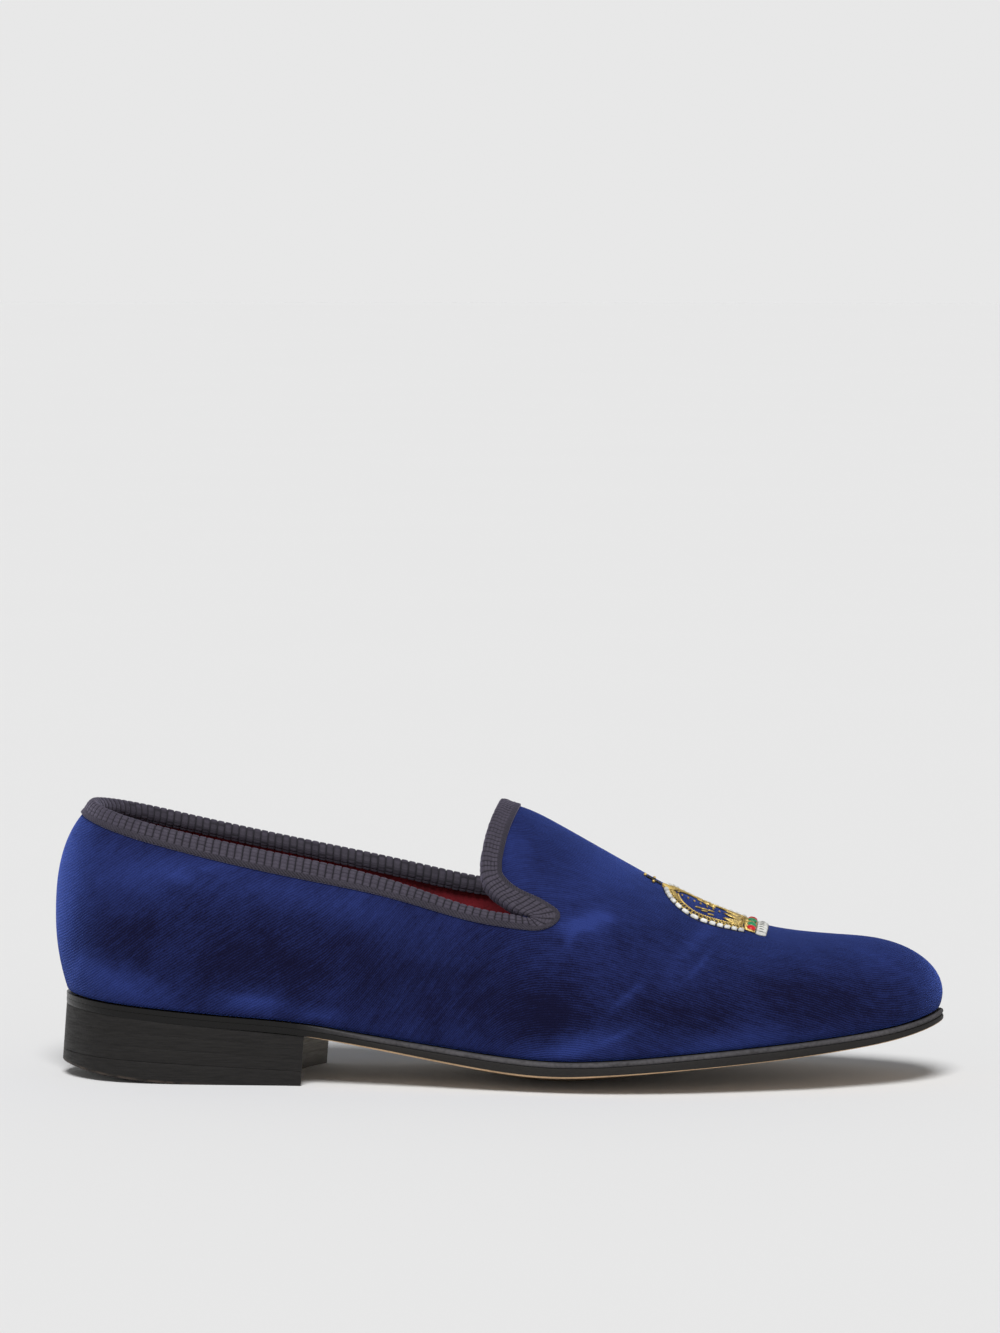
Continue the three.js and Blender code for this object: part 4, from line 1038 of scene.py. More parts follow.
def heel_layer(last, name, under, over, soft):
    """One layer of the heel between two heights, its sides raked and tapered with height."""
    plan, front = heel_plan(last)
    centre = np.array([0.45 * BREAST_AT, 0.0])

    def ring(share, height, lift=0.0, inset=0.0):
        """The plan drawn in to a share, at a height, raked and tapered."""
        out = plan - centre
        size = np.linalg.norm(out, axis=1)[:, None]
        spot = centre + out * (share * (1 - inset / size))
        z = height(spot[:, 0]) + lift
        down = 1 - z / last.sizes.heel_height
        x = spot[:, 0] - down * HEEL_RAKE
        y = spot[:, 1] * (1 - down * HEEL_TAPER / last.sizes.seat_width)
        return np.stack([x, y, z], 1)[:, None]

    rows = [ring(share, over) for share in (0, 0.35, 0.7, 0.93)]
    rows += [ring(1, over, 0, soft), ring(1, over, -0.3 * soft, 0.3 * soft), ring(1, over, -soft)]
    rows += [ring(1, lambda x: over(x) * (1 - part) + under(x) * part) for part in (0.33, 0.66)]
    rows += [ring(1, under, soft), ring(1, under, 0.3 * soft, 0.3 * soft)]
    upright = np.arange(len(rows) + 5) < len(rows)
    rows += [ring(1, under, 0, soft)] + [ring(share, under) for share in (0.93, 0.7, 0.35, 0)]
    points = np.concatenate(rows, 1)
    extra = {"breast": front[:, None] * upright, "rise": points[..., 2] - under(points[..., 0])}
    return new_mesh(name, points, attributes=extra, sharp=38)


# Materials

HEEL_BACK = float(UPPER_LOW.x)
PILE_PITCH = 0.82 * MM
RIBBON_THREAD = 0.45 * MM
# Darkest velvet tone, reached by random tone and by painted shade from the nap table
VELVET_SHADE = (0.0048, 0.0045, 0.021, 1)
# Welt strip's grey in front of the waist: a painted reflection of the gloss on its top, over its grain
WELT_PAINTED_GLOSS_GREY = (0.06, 0.057, 0.06)
SOLE_DULL = (0.34, 0.26, 0.185, 1)
SOLE_SCUFF = (0.09, 0.07, 0.055, 1)
# Heel breast's own grey-brown, painted lighter as painted light on a face that stands in shade
BREAST_GREY_PAINTED_LIGHTER = (0.5, 0.47, 0.42)
TREAD_SCUFF = (0.06, 0.045, 0.036, 1)
WHITE_THREAD = (0.78, 0.77, 0.73)
DARK_THREAD = (0.03, 0.026, 0.024)
RED_STONE = (0.6, 0.015, 0.02)
GREEN_STONE = (0.03, 0.25, 0.1)

# Threads and stones: roughness, metallic share, size of the fibres and depth of their bump
BULLION = (0.3, 0.7, 0.3 * MM, 0.16 * MM)
SATIN = (0.45, 0.3, 0.3 * MM, 0.1 * MM)
COTTON = (0.7, 0, 2 * MM, 0.05 * MM)
SILK = (0.4, 0.2, 0.2 * MM, 0.1 * MM)
STONE = (0.3, 0, 1.2 * MM, 0.1 * MM)


def add(tree, kind, inputs=None, **settings):
    """A node with its settings and its inputs, which are numbers, colours or nodes' values."""
    made = tree.nodes.new(kind)
    for name, value in settings.items():
        setattr(made, name, value)
    for key, value in (inputs or {}).items():
        if isinstance(value, Value):
            tree.links.new(value.socket, made.inputs[key])
        else:
            made.inputs[key].default_value = value
    return made


class Value:
    """What a node puts out over a surface. Arithmetic on it adds Math nodes to its tree."""

    def __init__(self, socket):
        self.socket = socket

    def through(self, kind, inputs, output=0, **settings):
        """What a new node in the same tree puts out."""
        return Value(add(self.socket.id_data, kind, inputs, **settings).outputs[output])

    def worked(self, operation, *numbers):
        """What a Math node makes of the numbers, or of this value alone."""
        return self.through("ShaderNodeMath", dict(enumerate(numbers or [self])), operation=operation)

    def __add__(self, other):
        return self.worked("ADD", self, other)

    def __sub__(self, other):
        return self.worked("SUBTRACT", self, other)

    def __rsub__(self, other):
        return self.worked("SUBTRACT", other, self)

    def __mul__(self, other):
        return self.worked("MULTIPLY", self, other)

    def __truediv__(self, other):
        return self.worked("DIVIDE", self, other)

    def __rtruediv__(self, other):
        return self.worked("DIVIDE", other, self)

    __radd__, __rmul__ = __add__, __mul__


def axes(spot):
    """The three coordinates of a place."""
    return [Value(socket) for socket in add(spot.socket.id_data, "ShaderNodeSeparateXYZ", {0: spot}).outputs]


def blended(share, first, second):
    """A mix of two colours or values, the second where the share is 1."""
    return share.through("ShaderNodeMix", {"Factor": share, 6: first, 7: second}, 2, data_type="RGBA")


def ranged(value, low, high, to_low=0.0, to_high=1.0):
    """A value carried straight from one range to another, and held at both ends."""
    return value.through("ShaderNodeMapRange", {"Value": value, "From Min": low, "From Max": high,
                                                "To Min": to_low, "To Max": to_high})


def noise(spot, size, detail=2.0, rough=0.5, distortion=0.0):
    """Noise with features of a size in metres."""
    return spot.through("ShaderNodeTexNoise", {"Vector": spot, "Scale": 1 / size, "Detail": detail,
                                               "Roughness": rough, "Distortion": distortion})


def stretched(spot, scale):
    """A place scaled along each axis."""
    return spot.through("ShaderNodeMapping", {"Vector": spot, "Scale": scale})


def value_of(spot, name):
    """A mesh attribute."""
    return spot.through("ShaderNodeAttribute", {}, "Fac", attribute_name=name)


def leather_grain(spot, size):
    """Pebbles that fall by the square of the distance from scattered points, with fine noise on
    them. The shade adds slow noise."""
    cells = spot.through("ShaderNodeTexVoronoi", {"Vector": spot, "Scale": 1 / size}, "Distance")
    height = 1 - cells * cells + 0.35 * noise(spot, size / 3.1, 3.0)
    return height, 0.3 * height + 0.7 * noise(spot, size / 0.07, 3.0)


def thread_fuzz(spot, size):
    """Fine fibres. The shade adds slow changes of tone along a thread."""
    fine = noise(spot, size, 4.0, 0.65)
    return fine, 0.55 * fine + 0.45 * noise(spot, size / 0.08)


def placed(spot, pattern, size):
    """Height and shade of a shared pattern, whose node group is built once, at a size."""
    name = pattern.__name__.replace("_", " ").capitalize()
    shared = bpy.data.node_groups.get(name)
    if shared is None:
        shared = bpy.data.node_groups.new(name, "ShaderNodeTree")
        for label, way, kind in (("Spot", "INPUT", "Vector"), ("Size", "INPUT", "Float"),
                                 ("Height", "OUTPUT", "Float"), ("Shade", "OUTPUT", "Float")):
            shared.interface.new_socket(name=label, in_out=way, socket_type="NodeSocket" + kind)
        given = shared.nodes.new("NodeGroupInput").outputs
        height, shade = pattern(Value(given["Spot"]), Value(given["Size"]))
        add(shared, "NodeGroupOutput", {"Height": height, "Shade": shade})
    made = add(spot.socket.id_data, "ShaderNodeGroup", {"Spot": spot, "Size": size}, node_tree=shared)
    return Value(made.outputs["Height"]), Value(made.outputs["Shade"])


def new_material(name, rough, **sockets):
    """A material, its Principled shader with plain values on its sockets, and Object coordinates."""
    made = bpy.data.materials.new(name)
    made.use_nodes = True
    tree = made.node_tree
    tree.nodes.clear()
    plain = {key.replace("_", " "): value for key, value in sockets.items()}
    shader = add(tree, "ShaderNodeBsdfPrincipled", {"Roughness": rough, **plain})
    add(tree, "ShaderNodeOutputMaterial", {"Surface": Value(shader.outputs[0])})
    return made, shader, Value(add(tree, "ShaderNodeTexCoord").outputs["Object"])


def feed(shader, height=None, distance=0.1 * MM, strength=1.0, **linked):
    """Links values to a shader's sockets, and a height through a bump to its normal."""
    tree = shader.id_data
    if height is not None:
        bump = add(tree, "ShaderNodeBump", {"Height": height, "Distance": distance, "Strength": strength})
        linked["Normal"] = Value(bump.outputs[0])
    for key, value in linked.items():
        tree.links.new(value.socket, shader.inputs[key.replace("_", " ")])


def shaded(colour, gain):
    """A colour times a gain, held at 1, with full alpha."""
    return (*(min(1.0, channel * gain) for channel in colour), 1.0)


def tones(share, colour, dark, light):
    """A colour that goes from a darker to a lighter tone of itself."""
    return blended(share, shaded(colour, dark), shaded(colour, light))


def velvet_material(colours):
    """Pile in fine slanted rows with fibres, specks that are partly painted glints, streaks along the
    rows, slow clouds, and brushing mixed with painted light and shade; and a sunk seam up the back
    of the heel, painted darker in its groove as painted shade."""
    made, shader, spot = new_material(
        "Royal blue velvet", 0.75, Sheen_Weight=0.6, Sheen_Roughness=0.36,
        Sheen_Tint=(0.135, 0.25, 1.0, 1), Specular_IOR_Level=0.05)
    pile, brushed_and_painted_light = value_of(spot, "pile"), value_of(spot, "brushed_and_painted_light")
    x, y, _ = axes(spot)
    rows = (2 * np.pi * (pile / PILE_PITCH + 0.9 * noise(spot, 2.4 * MM))).worked("SINE")
    fibre = noise(spot, 0.34 * MM, 3.0, 0.7)
    lengthwise = spot.through("ShaderNodeCombineXYZ", {"X": 0.22 * x, "Y": 0.3 * y, "Z": pile})
    clouds = 0.45 * noise(spot, 19 * MM, 2.0, 0.5, 0.5) + 0.25 * noise(spot, 5.5 * MM, 3.0, 0.6, 0.6)
    marks = 0.6 * noise(lengthwise, 1.5 * MM, 4.0, 0.65) + 0.12 * rows
    # Fibre specks: partly the pile's own tone, partly painted glints
    specks_and_painted_glints = 0.5 * fibre + 0.4 * noise(spot, 0.8 * MM, 2.0, 0.8)
    # Tone share: random clouds, streaks and specks, plus brushing with painted light and shade
    share = ranged(0.9 * brushed_and_painted_light - 0.8 + clouds + marks + specks_and_painted_glints, 0.0, 0.95)
    across = y / (0.5 * MM)
    behind = ranged(x, HEEL_BACK + 9 * MM, HEEL_BACK + 5 * MM)
    seam = (-1.0 * across * across).worked("EXPONENT") * behind
    colour = blended(share, VELVET_SHADE, shaded(colours.velvet, 1.03))
    # Painted shade: the seam's groove is painted darker
    colour = blended(0.6 * seam, colour, shaded(colours.velvet, 0.12))
    feed(shader, 0.3 * rows + 1.3 * fibre - 1.6 * seam, 0.22 * MM, 0.8,
         Base_Color=colour, Roughness=ranged(share, 0, 1, 0.85, 0.62))
    return made


def ribbon_material(colours):
    """Ribs with painted shade in the grooves between them and on the inside face, crossed by fine
    threads.
    """
    made, shader, spot = new_material(
        "Ribbed ribbon", 0.7, Sheen_Weight=0.25, Sheen_Roughness=0.5, Sheen_Tint=(0.75, 0.7, 1.0, 1),
        Specular_IOR_Level=0.3)
    fuzz, shade = placed(spot, thread_fuzz, 0.22 * MM)
    cross = (2 * np.pi / RIBBON_THREAD * value_of(spot, "across")).worked("SINE")
    # The rib attribute carries the painted shade of grooves and inside face
    groove = ranged(value_of(spot, "rib"), 0.3, 0.95)
    share = groove * ranged(shade, 0.3, 0.7, 0.55, 1.1) + 0.06 * cross
    feed(shader, fuzz + 0.22 * cross, 0.12 * MM, 0.8,
         Base_Color=tones(share, colours.ribbon, 0.16, 1.12), Roughness=ranged(share, 0, 1, 0.85, 0.6))
    return made


def thread_material(name, colour, rough, metallic, size, depth):
    """Embroidery thread or a small stone: its tone follows the fibres' fine bump, a painted shade
    between them and a painted highlight on them.
    """
    made, shader, spot = new_material(name, rough, Metallic=metallic, Specular_IOR_Level=0.4)
    fuzz, shade = placed(spot, thread_fuzz, size)
    # Painted shade between fibres and painted highlight on them
    share = ranged(shade, 0.3, 0.7)
    feed(shader, fuzz, depth, 0.8, Base_Color=tones(share, colour, 0.3, 1.3),
         Roughness=ranged(share, 0, 1, rough + 0.15, rough - 0.08))
    return made


def leather_material(name, colour, rough, size, depth, dark=0.6, light=1.25):
    """Grained leather, darker between its pebbles."""
    made, shader, spot = new_material(name, rough)
    grain, shade = placed(spot, leather_grain, size)
    share = ranged(shade, 0.35, 0.75)
    feed(shader, grain, depth, Base_Color=tones(share, colour, dark, light),
         Roughness=ranged(share, 0, 1, rough + 0.1, rough - 0.06))
    return made


def front_share(spot):
    """0 at the heel and 1 in front of the waist."""
    return ranged(axes(spot)[0], HEEL_BACK + 85 * MM, HEEL_BACK + 117 * MM)


def welt_material(colours):
    """Glossy black at the heel seat; in front of the waist a dull grained strip whose grey is a
    painted reflection of the gloss on its top.
    """
    made, shader, spot = new_material("Welt", 0.5, Coat_Roughness=0.25, Specular_IOR_Level=0.15)
    grain, shade = placed(spot, leather_grain, 1.1 * MM)
    front = front_share(spot)
    # Painted reflection: the strip's grey stands in for its top's gloss
    grey = tones(ranged(shade, 0.35, 0.75), WELT_PAINTED_GLOSS_GREY, 0.55, 1.3)
    feed(shader, grain, 0.12 * MM, 0.6, Base_Color=blended(front, shaded(colours.edge, 0.4), grey),
         Roughness=ranged(front, 0, 1, 0.3, 0.72), Coat_Weight=ranged(front, 0, 1, 0.12, 0.0))
    return made


def outsole_material(colours):
    """Inked edge above, bare leather on the bevel, duller underneath and scuffed where it treads."""
    made, shader, spot = new_material("Sole leather", 0.6, Coat_Roughness=0.25, Specular_IOR_Level=0.15)
    grain, shade = placed(spot, leather_grain, 0.8 * MM)
    lines = noise(stretched(spot, (1, 1, 9)), 1.6 * MM, 3.0, 0.6)
    mark, front = value_of(spot, "bare"), front_share(spot)
    bare, under = ranged(mark, 0.35, 0.65), ranged(mark, 1.1, 1.9)
    worn = ranged(axes(spot)[2], 1.6 * MM, 0.1 * MM) * ranged(noise(spot, 5 * MM, 5.0), 0.25, 0.8)
    share = ranged(shade, 0.3, 0.75)
    dull = blended(share, shaded(colours.sole, 0.5), SOLE_DULL)
    tan = blended(under, tones(share, colours.sole, 0.7, 1.15), dull)
    tan = blended(0.7 * worn, tan, SOLE_SCUFF)
    inked = blended(front, shaded(colours.edge, 0.4), tones(lines, colours.edge, 0.8, 2.2))
    feed(shader, grain + 0.7 * front * lines, 0.08 * MM, 0.6, Base_Color=blended(bare, inked, tan),
         Roughness=blended(bare, 0.3 * front + 0.3, ranged(share, 0, 1, 0.75, 0.6)),
         Coat_Weight=0.12 * (1 - front) * (1 - bare))
    return made


def heel_material(colours, name, scuffed):
    """Stacked leather, inked nearly black with faint level lines; greyer on its front face, whose
    grey is painted lighter as painted light and darker towards the floor as painted shade; and
    scuffed round its worn back edge."""
    made, shader, spot = new_material(name, 0.55, Specular_IOR_Level=0.2)
    grain, _ = placed(spot, leather_grain, 0.7 * MM)
    lines = noise(stretched(spot, (0.25, 0.25, 4)), 1.5 * MM, 4.0, 0.65)
    x, _, z = axes(spot)
    share = ranged(lines, 0.32, 0.68)
    # Front face: its grey painted lighter as painted light, and darker towards the floor as painted shade
    face = blended(ranged(z, 12 * MM, 1 * MM), tones(share, BREAST_GREY_PAINTED_LIGHTER, 0.65, 1.2), shaded(BREAST_GREY_PAINTED_LIGHTER, 0.3))
    colour = blended(value_of(spot, "breast"), tones(share, colours.edge, 0.62, 1.35), face)
    low = ranged(value_of(spot, "rise"), 0.8 * MM, 0.3 * MM)
    rear = ranged(x, HEEL_BACK + 62 * MM, HEEL_BACK + 45 * MM)
    worn = low * rear * ranged(noise(spot, 3 * MM, 4.0), 0.35, 0.6)
    feed(shader, 1.4 * lines + grain, 0.07 * MM, 0.7,
         Base_Color=blended(scuffed * worn, colour, TREAD_SCUFF), Roughness=ranged(share, 0, 1, 0.62, 0.46))
    return made


# Crown

CROWN_LENGTH = 42 * MM
CROWN_HALF_WIDTH = 14.5 * MM
CROWN_END = 243 * MM
CROWN_ACROSS = -1.5 * MM
RED_STONES = (-0.6, 0.6)
GREEN_STONES = (-0.28, 0.28)
STONE_RADIUS = 1.9 * MM
ORB_RADIUS = 2.2 * MM
FILL_STITCH = 0.33 * MM

# An outer arch: shares of the way up the crown and of the way out to its side
ARCH_ROWS = ((0.2, 0.72), (0.33, 0.87), (0.46, 0.99), (0.58, 1.01), (0.68, 0.82), (0.745, 0.48), (0.77, 0.12))


def crown_spot(up, side):
    """Place in plan of a share of the way up the crown and a share of the way out to its side."""
    x, y = CROWN_END - up * CROWN_LENGTH, CROWN_ACROSS + side * CROWN_HALF_WIDTH
    return np.stack(np.broadcast_arrays(x, y), -1)


def soft_path(points, count):
    """Evenly spread points on a cubic spline through the given ones."""
    points = np.array(points, float)
    at = np.concatenate([[0], np.cumsum(np.linalg.norm(np.diff(points, axis=0), axis=1))])
    place = np.linspace(0, at[-1], count)
    rows = {"at": at, "x": points[:, 0], "y": points[:, 1]}
    return np.stack([smooth_curve(rows, "at", "x")(place), smooth_curve(rows, "at", "y")(place)], -1)


def beside(path, distance):
    """A path in plan moved sideways by a distance, to the left of its way."""
    way = np.gradient(path, axis=-2)
    way /= np.linalg.norm(way, axis=-1)[..., None]
    return path + np.stack([-way[..., 1], way[..., 0]], -1) * np.reshape(distance, (-1, 1))


def vamp_frame(last, plan):
    """Points on the vamp over places in plan, and its outward direction there."""
    x, y = plan[..., 0], plan[..., 1]
    step = 0.3 * MM
    here = last.vamp(x, y)
    out = np.cross(last.vamp(x + step, y) - here, last.vamp(x, y + step) - here)
    return here, out / np.linalg.norm(out, axis=-1)[..., None]


def strands(last, paths, radius, lift, sides=7, ripple=0.0, turns=0):
    """Tubes along paths in plan, lifted off the vamp: circles square to the path whose radius
    closes at both ends as a half ellipse does, and swells and shrinks once for each turn."""
    here, out = vamp_frame(last, paths)
    way = np.gradient(here, axis=1)
    aside = np.cross(out, way)
    aside /= np.linalg.norm(aside, axis=-1)[..., None]
    along = np.linspace(0, 1, paths.shape[1])
    ends = np.minimum(1, np.minimum(along, 1 - along) * (paths.shape[1] - 1) / 2).clip(0) ** 0.5
    wide = radius * ends * (1 - ripple * (0.5 - 0.5 * np.cos(2 * np.pi * turns * along)))
    around = np.linspace(0, 2 * np.pi, sides, endpoint=False)
    spread = (np.cos(around)[:, None] * aside[..., None, :] + np.sin(around)[:, None] * out[..., None, :])
    points = (here + out * lift)[..., None, :] + wide[None, :, None, None] * spread
    return repeated(points, grid_faces(paths.shape[1], sides, closed_columns=False, closed_rows=True))


def repeated(points, faces):
    """Many copies of one grid's faces, each with its own points."""
    count, size = len(points), points[0].reshape(-1, 3).shape[0]
    return points.reshape(-1, 3), (faces[None] + (np.arange(count) * size)[:, None, None]).reshape(-1, 4)


def beads(last, spots, radius, lift, flat=1.0, long=1.0, rounds=(8, 10)):
    """Balls on the vamp, flattened outwards and stretched along the shoe."""
    here, out = vamp_frame(last, spots)
    ahead = np.array([1.0, 0, 0]) - out * out[:, :1]
    ahead /= np.linalg.norm(ahead, axis=1)[:, None]
    aside = np.cross(out, ahead)
    down = np.linspace(0, np.pi, rounds[0])[:, None]
    around = np.linspace(0, 2 * np.pi, rounds[1], endpoint=False)[None, :]
    shape = [np.sin(down) * np.cos(around) * long, np.sin(down) * np.sin(around),
             np.cos(down) * flat + 0 * around]
    axes = [ahead, aside, out]
    ball = sum(part[None, ..., None] * axis[:, None, None, :] for part, axis in zip(shape, axes))
    points = (here + out * lift)[:, None, None, :] + np.reshape(radius, (-1, 1, 1, 1)) * ball
    return repeated(points, grid_faces(*rounds, closed_columns=False, closed_rows=True))


def joined(*parts):
    """Several sets of points and faces as one."""
    start = np.cumsum([0] + [len(points) for points, _ in parts])
    return (np.concatenate([points for points, _ in parts]),
            np.concatenate([faces + first for (_, faces), first in zip(parts, start)]))


def strokes(low, high, side, lean=0.0):
    """Short straight stitches up the crown, one for each side place, a little slanted."""
    share = np.linspace(0, 1, 7)[None, :]
    up = np.reshape(low, (-1, 1)) * (1 - share) + np.reshape(high, (-1, 1)) * share
    out = np.reshape(side, (-1, 1)) + lean * (share - 0.5)
    return crown_spot(up, out)


def zigzag(path, half, count):
    """Stitches across a path, each from one edge to the other and a little ahead."""
    start = np.linspace(0, len(path) - 8, count).astype(int)
    share = np.linspace(0, 1, 6)
    left, right = beside(path, half), beside(path, -half)
    ahead = np.minimum(start + 5, len(path) - 1)
    return left[start][:, None] * (1 - share[:, None]) + right[ahead][:, None] * share[:, None]


def crown_paths():
    """The two outer arches and the middle one, in plan."""
    up, side = np.array(ARCH_ROWS).T
    arches = [soft_path(crown_spot(up, side * sign), 240) for sign in (-1, 1)]
    middle = soft_path(crown_spot(np.array([0.19, 0.45, 0.74]), np.array([0.0, 0.01, 0.0])), 200)
    return arches, middle


def crown_gold(last):
    """Bullion: wires along the arches with stitches across them, and stitches in a band."""
    arches, middle = crown_paths()
    wire = np.stack([beside(path, offset * MM) for path in arches for offset in (-1.5, 1.5)])
    fill = np.concatenate([zigzag(path, 1.1 * MM, 26) for path in arches])
    chevrons = zigzag(middle, 0.8 * MM, 22)[::2]
    low_side = np.linspace(-0.78, 0.78, 26)
    wave = 0.5 + 0.5 * np.cos(low_side * 10.5)
    band = strokes(0.105, 0.2, low_side, 0.03)
    leaves = strokes(0.21, 0.26 + 0.11 * wave, np.linspace(-0.66, 0.66, 26), 0.05)
    rise = 0.05 * np.array([0, 1, 2, 1, 0])
    inside = np.concatenate([strokes(0.43 + rise, 0.49 + rise, sign * np.linspace(0.3, 0.62, 5), sign * 0.08)
                             for sign in (-1, 1)])
    knobs = np.array([(0.128, 0), (1, 0), (0.93, -0.2), (0.93, 0.2)]).T
    across = np.linspace(-0.8, 0.8, 300)
    edges = np.stack([crown_spot(up + 0.012 * across ** 2, across) for up in (0.1, 0.205)])
    return joined(
        strands(last, wire, 0.42 * MM, 0.5 * MM, ripple=0.6, turns=40),
        strands(last, fill, FILL_STITCH, 0.6 * MM, sides=6),
        strands(last, chevrons, 0.34 * MM, 0.4 * MM, sides=6),
        strands(last, band, 0.36 * MM, 0.45 * MM, sides=6),
        strands(last, leaves, 0.42 * MM, 0.45 * MM, sides=6),
        strands(last, inside, 0.34 * MM, 0.35 * MM, sides=6),
        strands(last, edges, 0.32 * MM, 0.4 * MM, ripple=0.4, turns=44),
        beads(last, crown_spot(*knobs), 0.6 * MM, 0.6 * MM),
    )


def crown_orb(last):
    """A low dome of satin stitches laid side by side."""
    side = np.linspace(-0.94, 0.94, 11)
    half = ORB_RADIUS * np.sqrt(1 - side ** 2)
    share = np.linspace(-1, 1, 15)
    centre = crown_spot(np.array(0.815), np.array(0.0))
    x = centre[0] + half[:, None] * share
    y = centre[1] + (side * ORB_RADIUS)[:, None] + 0 * share
    stitches = strands(last, np.stack([x, y], -1), 0.3 * MM, 0.75 * MM)
    return joined(stitches, beads(last, centre[None], 2.1 * MM, 0.2 * MM, flat=0.36, rounds=(12, 24)))


def petals(path, offset, count, reach):
    """Short runs of a path moved sideways, one after the other with a small gap."""
    line = beside(path, offset)
    start = np.linspace(4, len(line) - reach - 5, count).astype(int)
    return line[start[:, None] + np.linspace(0, reach, 9).astype(int)]


def crown_white(last):
    """Rim of upright satin stitches, and scalloped petals outside the arches."""
    side = np.linspace(-0.84, 0.84, 44)
    rim = strokes(0.012 * side ** 2, 0.092 + 0.012 * side ** 2, side)
    arches, _ = crown_paths()
    outside = np.concatenate([petals(path, sign * 2.5 * MM, 13, 15) for path, sign in zip(arches, (1, -1))])
    return joined(strands(last, rim, 0.46 * MM, 0.4 * MM, sides=8),
                  strands(last, outside, 0.85 * MM, 0.4 * MM, sides=8))


def crown_dark(last):
    """Ticks on the rim, a fine outline round the petals, the dark beads of the cross, and dark
    strands under the arches that paint shade into the gaps of the bullion.
    """
    side = np.linspace(-0.7, 0.7, 7)
    ticks = strokes(0.03, 0.075, side, 0.02)
    arches, _ = crown_paths()
    outline = np.stack([beside(path, sign * 3.4 * MM) for path, sign in zip(arches, (1, -1))])
    up = np.concatenate([np.linspace(0.875, 0.975, 7), [0.93] * 4])
    across = np.concatenate([np.zeros(7), [-0.14, -0.07, 0.07, 0.14]])
    return joined(strands(last, ticks, 0.3 * MM, 0.72 * MM, sides=6),
                  # Dark strands under the arches: painted shade showing through the bullion's gaps
                  strands(last, np.stack(arches), 1.25 * MM, -0.85 * MM, sides=12),
                  strands(last, outline, 0.16 * MM, 0.15 * MM, sides=5, ripple=0.3, turns=50),
                  beads(last, crown_spot(up, across), 0.5 * MM, 0.45 * MM))


def crown_stones(last, sides):
    """Flat oval stones on the band."""
    spots = crown_spot(np.full(len(sides), 0.135), np.array(sides))
    return beads(last, spots, STONE_RADIUS, 0.75 * MM, flat=0.5, long=0.85, rounds=(10, 16))


# Operators

class SLIPPER_OT_upper(bpy.types.Operator):
    """Velvet upper with its turned hem, and the lining inside it"""
    bl_idname = "slipper.upper"
    bl_label = "Build upper and lining"

    def execute(self, context):
        last, colours = last_of(context), context.scene.slipper_colours
        outside = new_piece("upper_velvet", velvet_mesh(last), velvet_material(colours), ("upper",))
        thicken(outside, VELVET_THICKNESS)
        red = leather_material("Lining leather", colours.lining, 0.5, 0.7 * MM, 0.05 * MM, 0.55, 1.3)
        inside = new_piece("upper_lining", lining_mesh(last), red)
        thicken(inside, LINING_THICKNESS, inwards=False)
        return {"FINISHED"}


class SLIPPER_OT_ribbon(bpy.types.Operator):
    """Ribbed ribbon folded over the edge of the opening"""
    bl_idname = "slipper.ribbon"
    bl_label = "Build topline ribbon"

    def execute(self, context):
        last, colours = last_of(context), context.scene.slipper_colours
        new_piece("topline_ribbon", ribbon_mesh(last), ribbon_material(colours),
                  ("topline_binding",))
        return {"FINISHED"}


class SLIPPER_OT_crown(bpy.types.Operator):
    """Embroidered crown on the vamp: bullion, satin orb, white rim, ticks, stones and dark strands of painted
    shade under the arches
    """
    bl_idname = "slipper.crown"
    bl_label = "Build embroidered crown"

    def execute(self, context):
        last, colours = last_of(context), context.scene.slipper_colours
        for name, shape, finish, colour, surface in (
            ("crown_bullion", crown_gold(last), "Gold bullion", colours.gold, BULLION),
            ("crown_orb", crown_orb(last), "Gold satin stitch", colours.gold, SATIN),
            ("crown_white", crown_white(last), "White thread", WHITE_THREAD, COTTON),
            # The dark thread also carries the painted shade strands under the arches
            ("crown_dark_and_painted_shade", crown_dark(last), "Dark thread and painted shade", DARK_THREAD, SILK),
            ("crown_red_stones", crown_stones(last, RED_STONES), "Red stone", RED_STONE, STONE),
            ("crown_green_stones", crown_stones(last, GREEN_STONES), "Green stone", GREEN_STONE, STONE),
        ):
            material = thread_material(finish, colour, *surface)
            replaced = ("vamp_crown",) if name == "crown_bullion" else ()
            new_piece(name, new_mesh(name, *shape), material, replaced)
        return {"FINISHED"}


class SLIPPER_OT_insole(bpy.types.Operator):
    """Insole board and the leather sock on it"""
    bl_idname = "slipper.insole"
    bl_label = "Build insole"

    def execute(self, context):
        last, colours = last_of(context), context.scene.slipper_colours
        board = leather_material("Insole board", shaded(colours.sole, 0.7)[:3], 0.8, 1.2 * MM, 0.08 * MM)
        sock = leather_material("Sock leather", colours.lining, 0.45, 0.9 * MM, 0.06 * MM, 0.6, 1.3)
        new_piece("insole_board", insole_mesh(last), board, ("insole",))
        new_piece("sock_lining", sock_mesh(last), sock)
        return {"FINISHED"}


class SLIPPER_OT_sole(bpy.types.Operator):
    """Welt strip and outsole"""
    bl_idname = "slipper.sole"
    bl_label = "Build welt and outsole"

    def execute(self, context):
        last, colours = last_of(context), context.scene.slipper_colours
        new_piece("welt_strip", welt_mesh(last), welt_material(colours), ("welt",))
        new_piece("outsole_leather", outsole_mesh(last), outsole_material(colours),
                  ("outsole",))
        return {"FINISHED"}


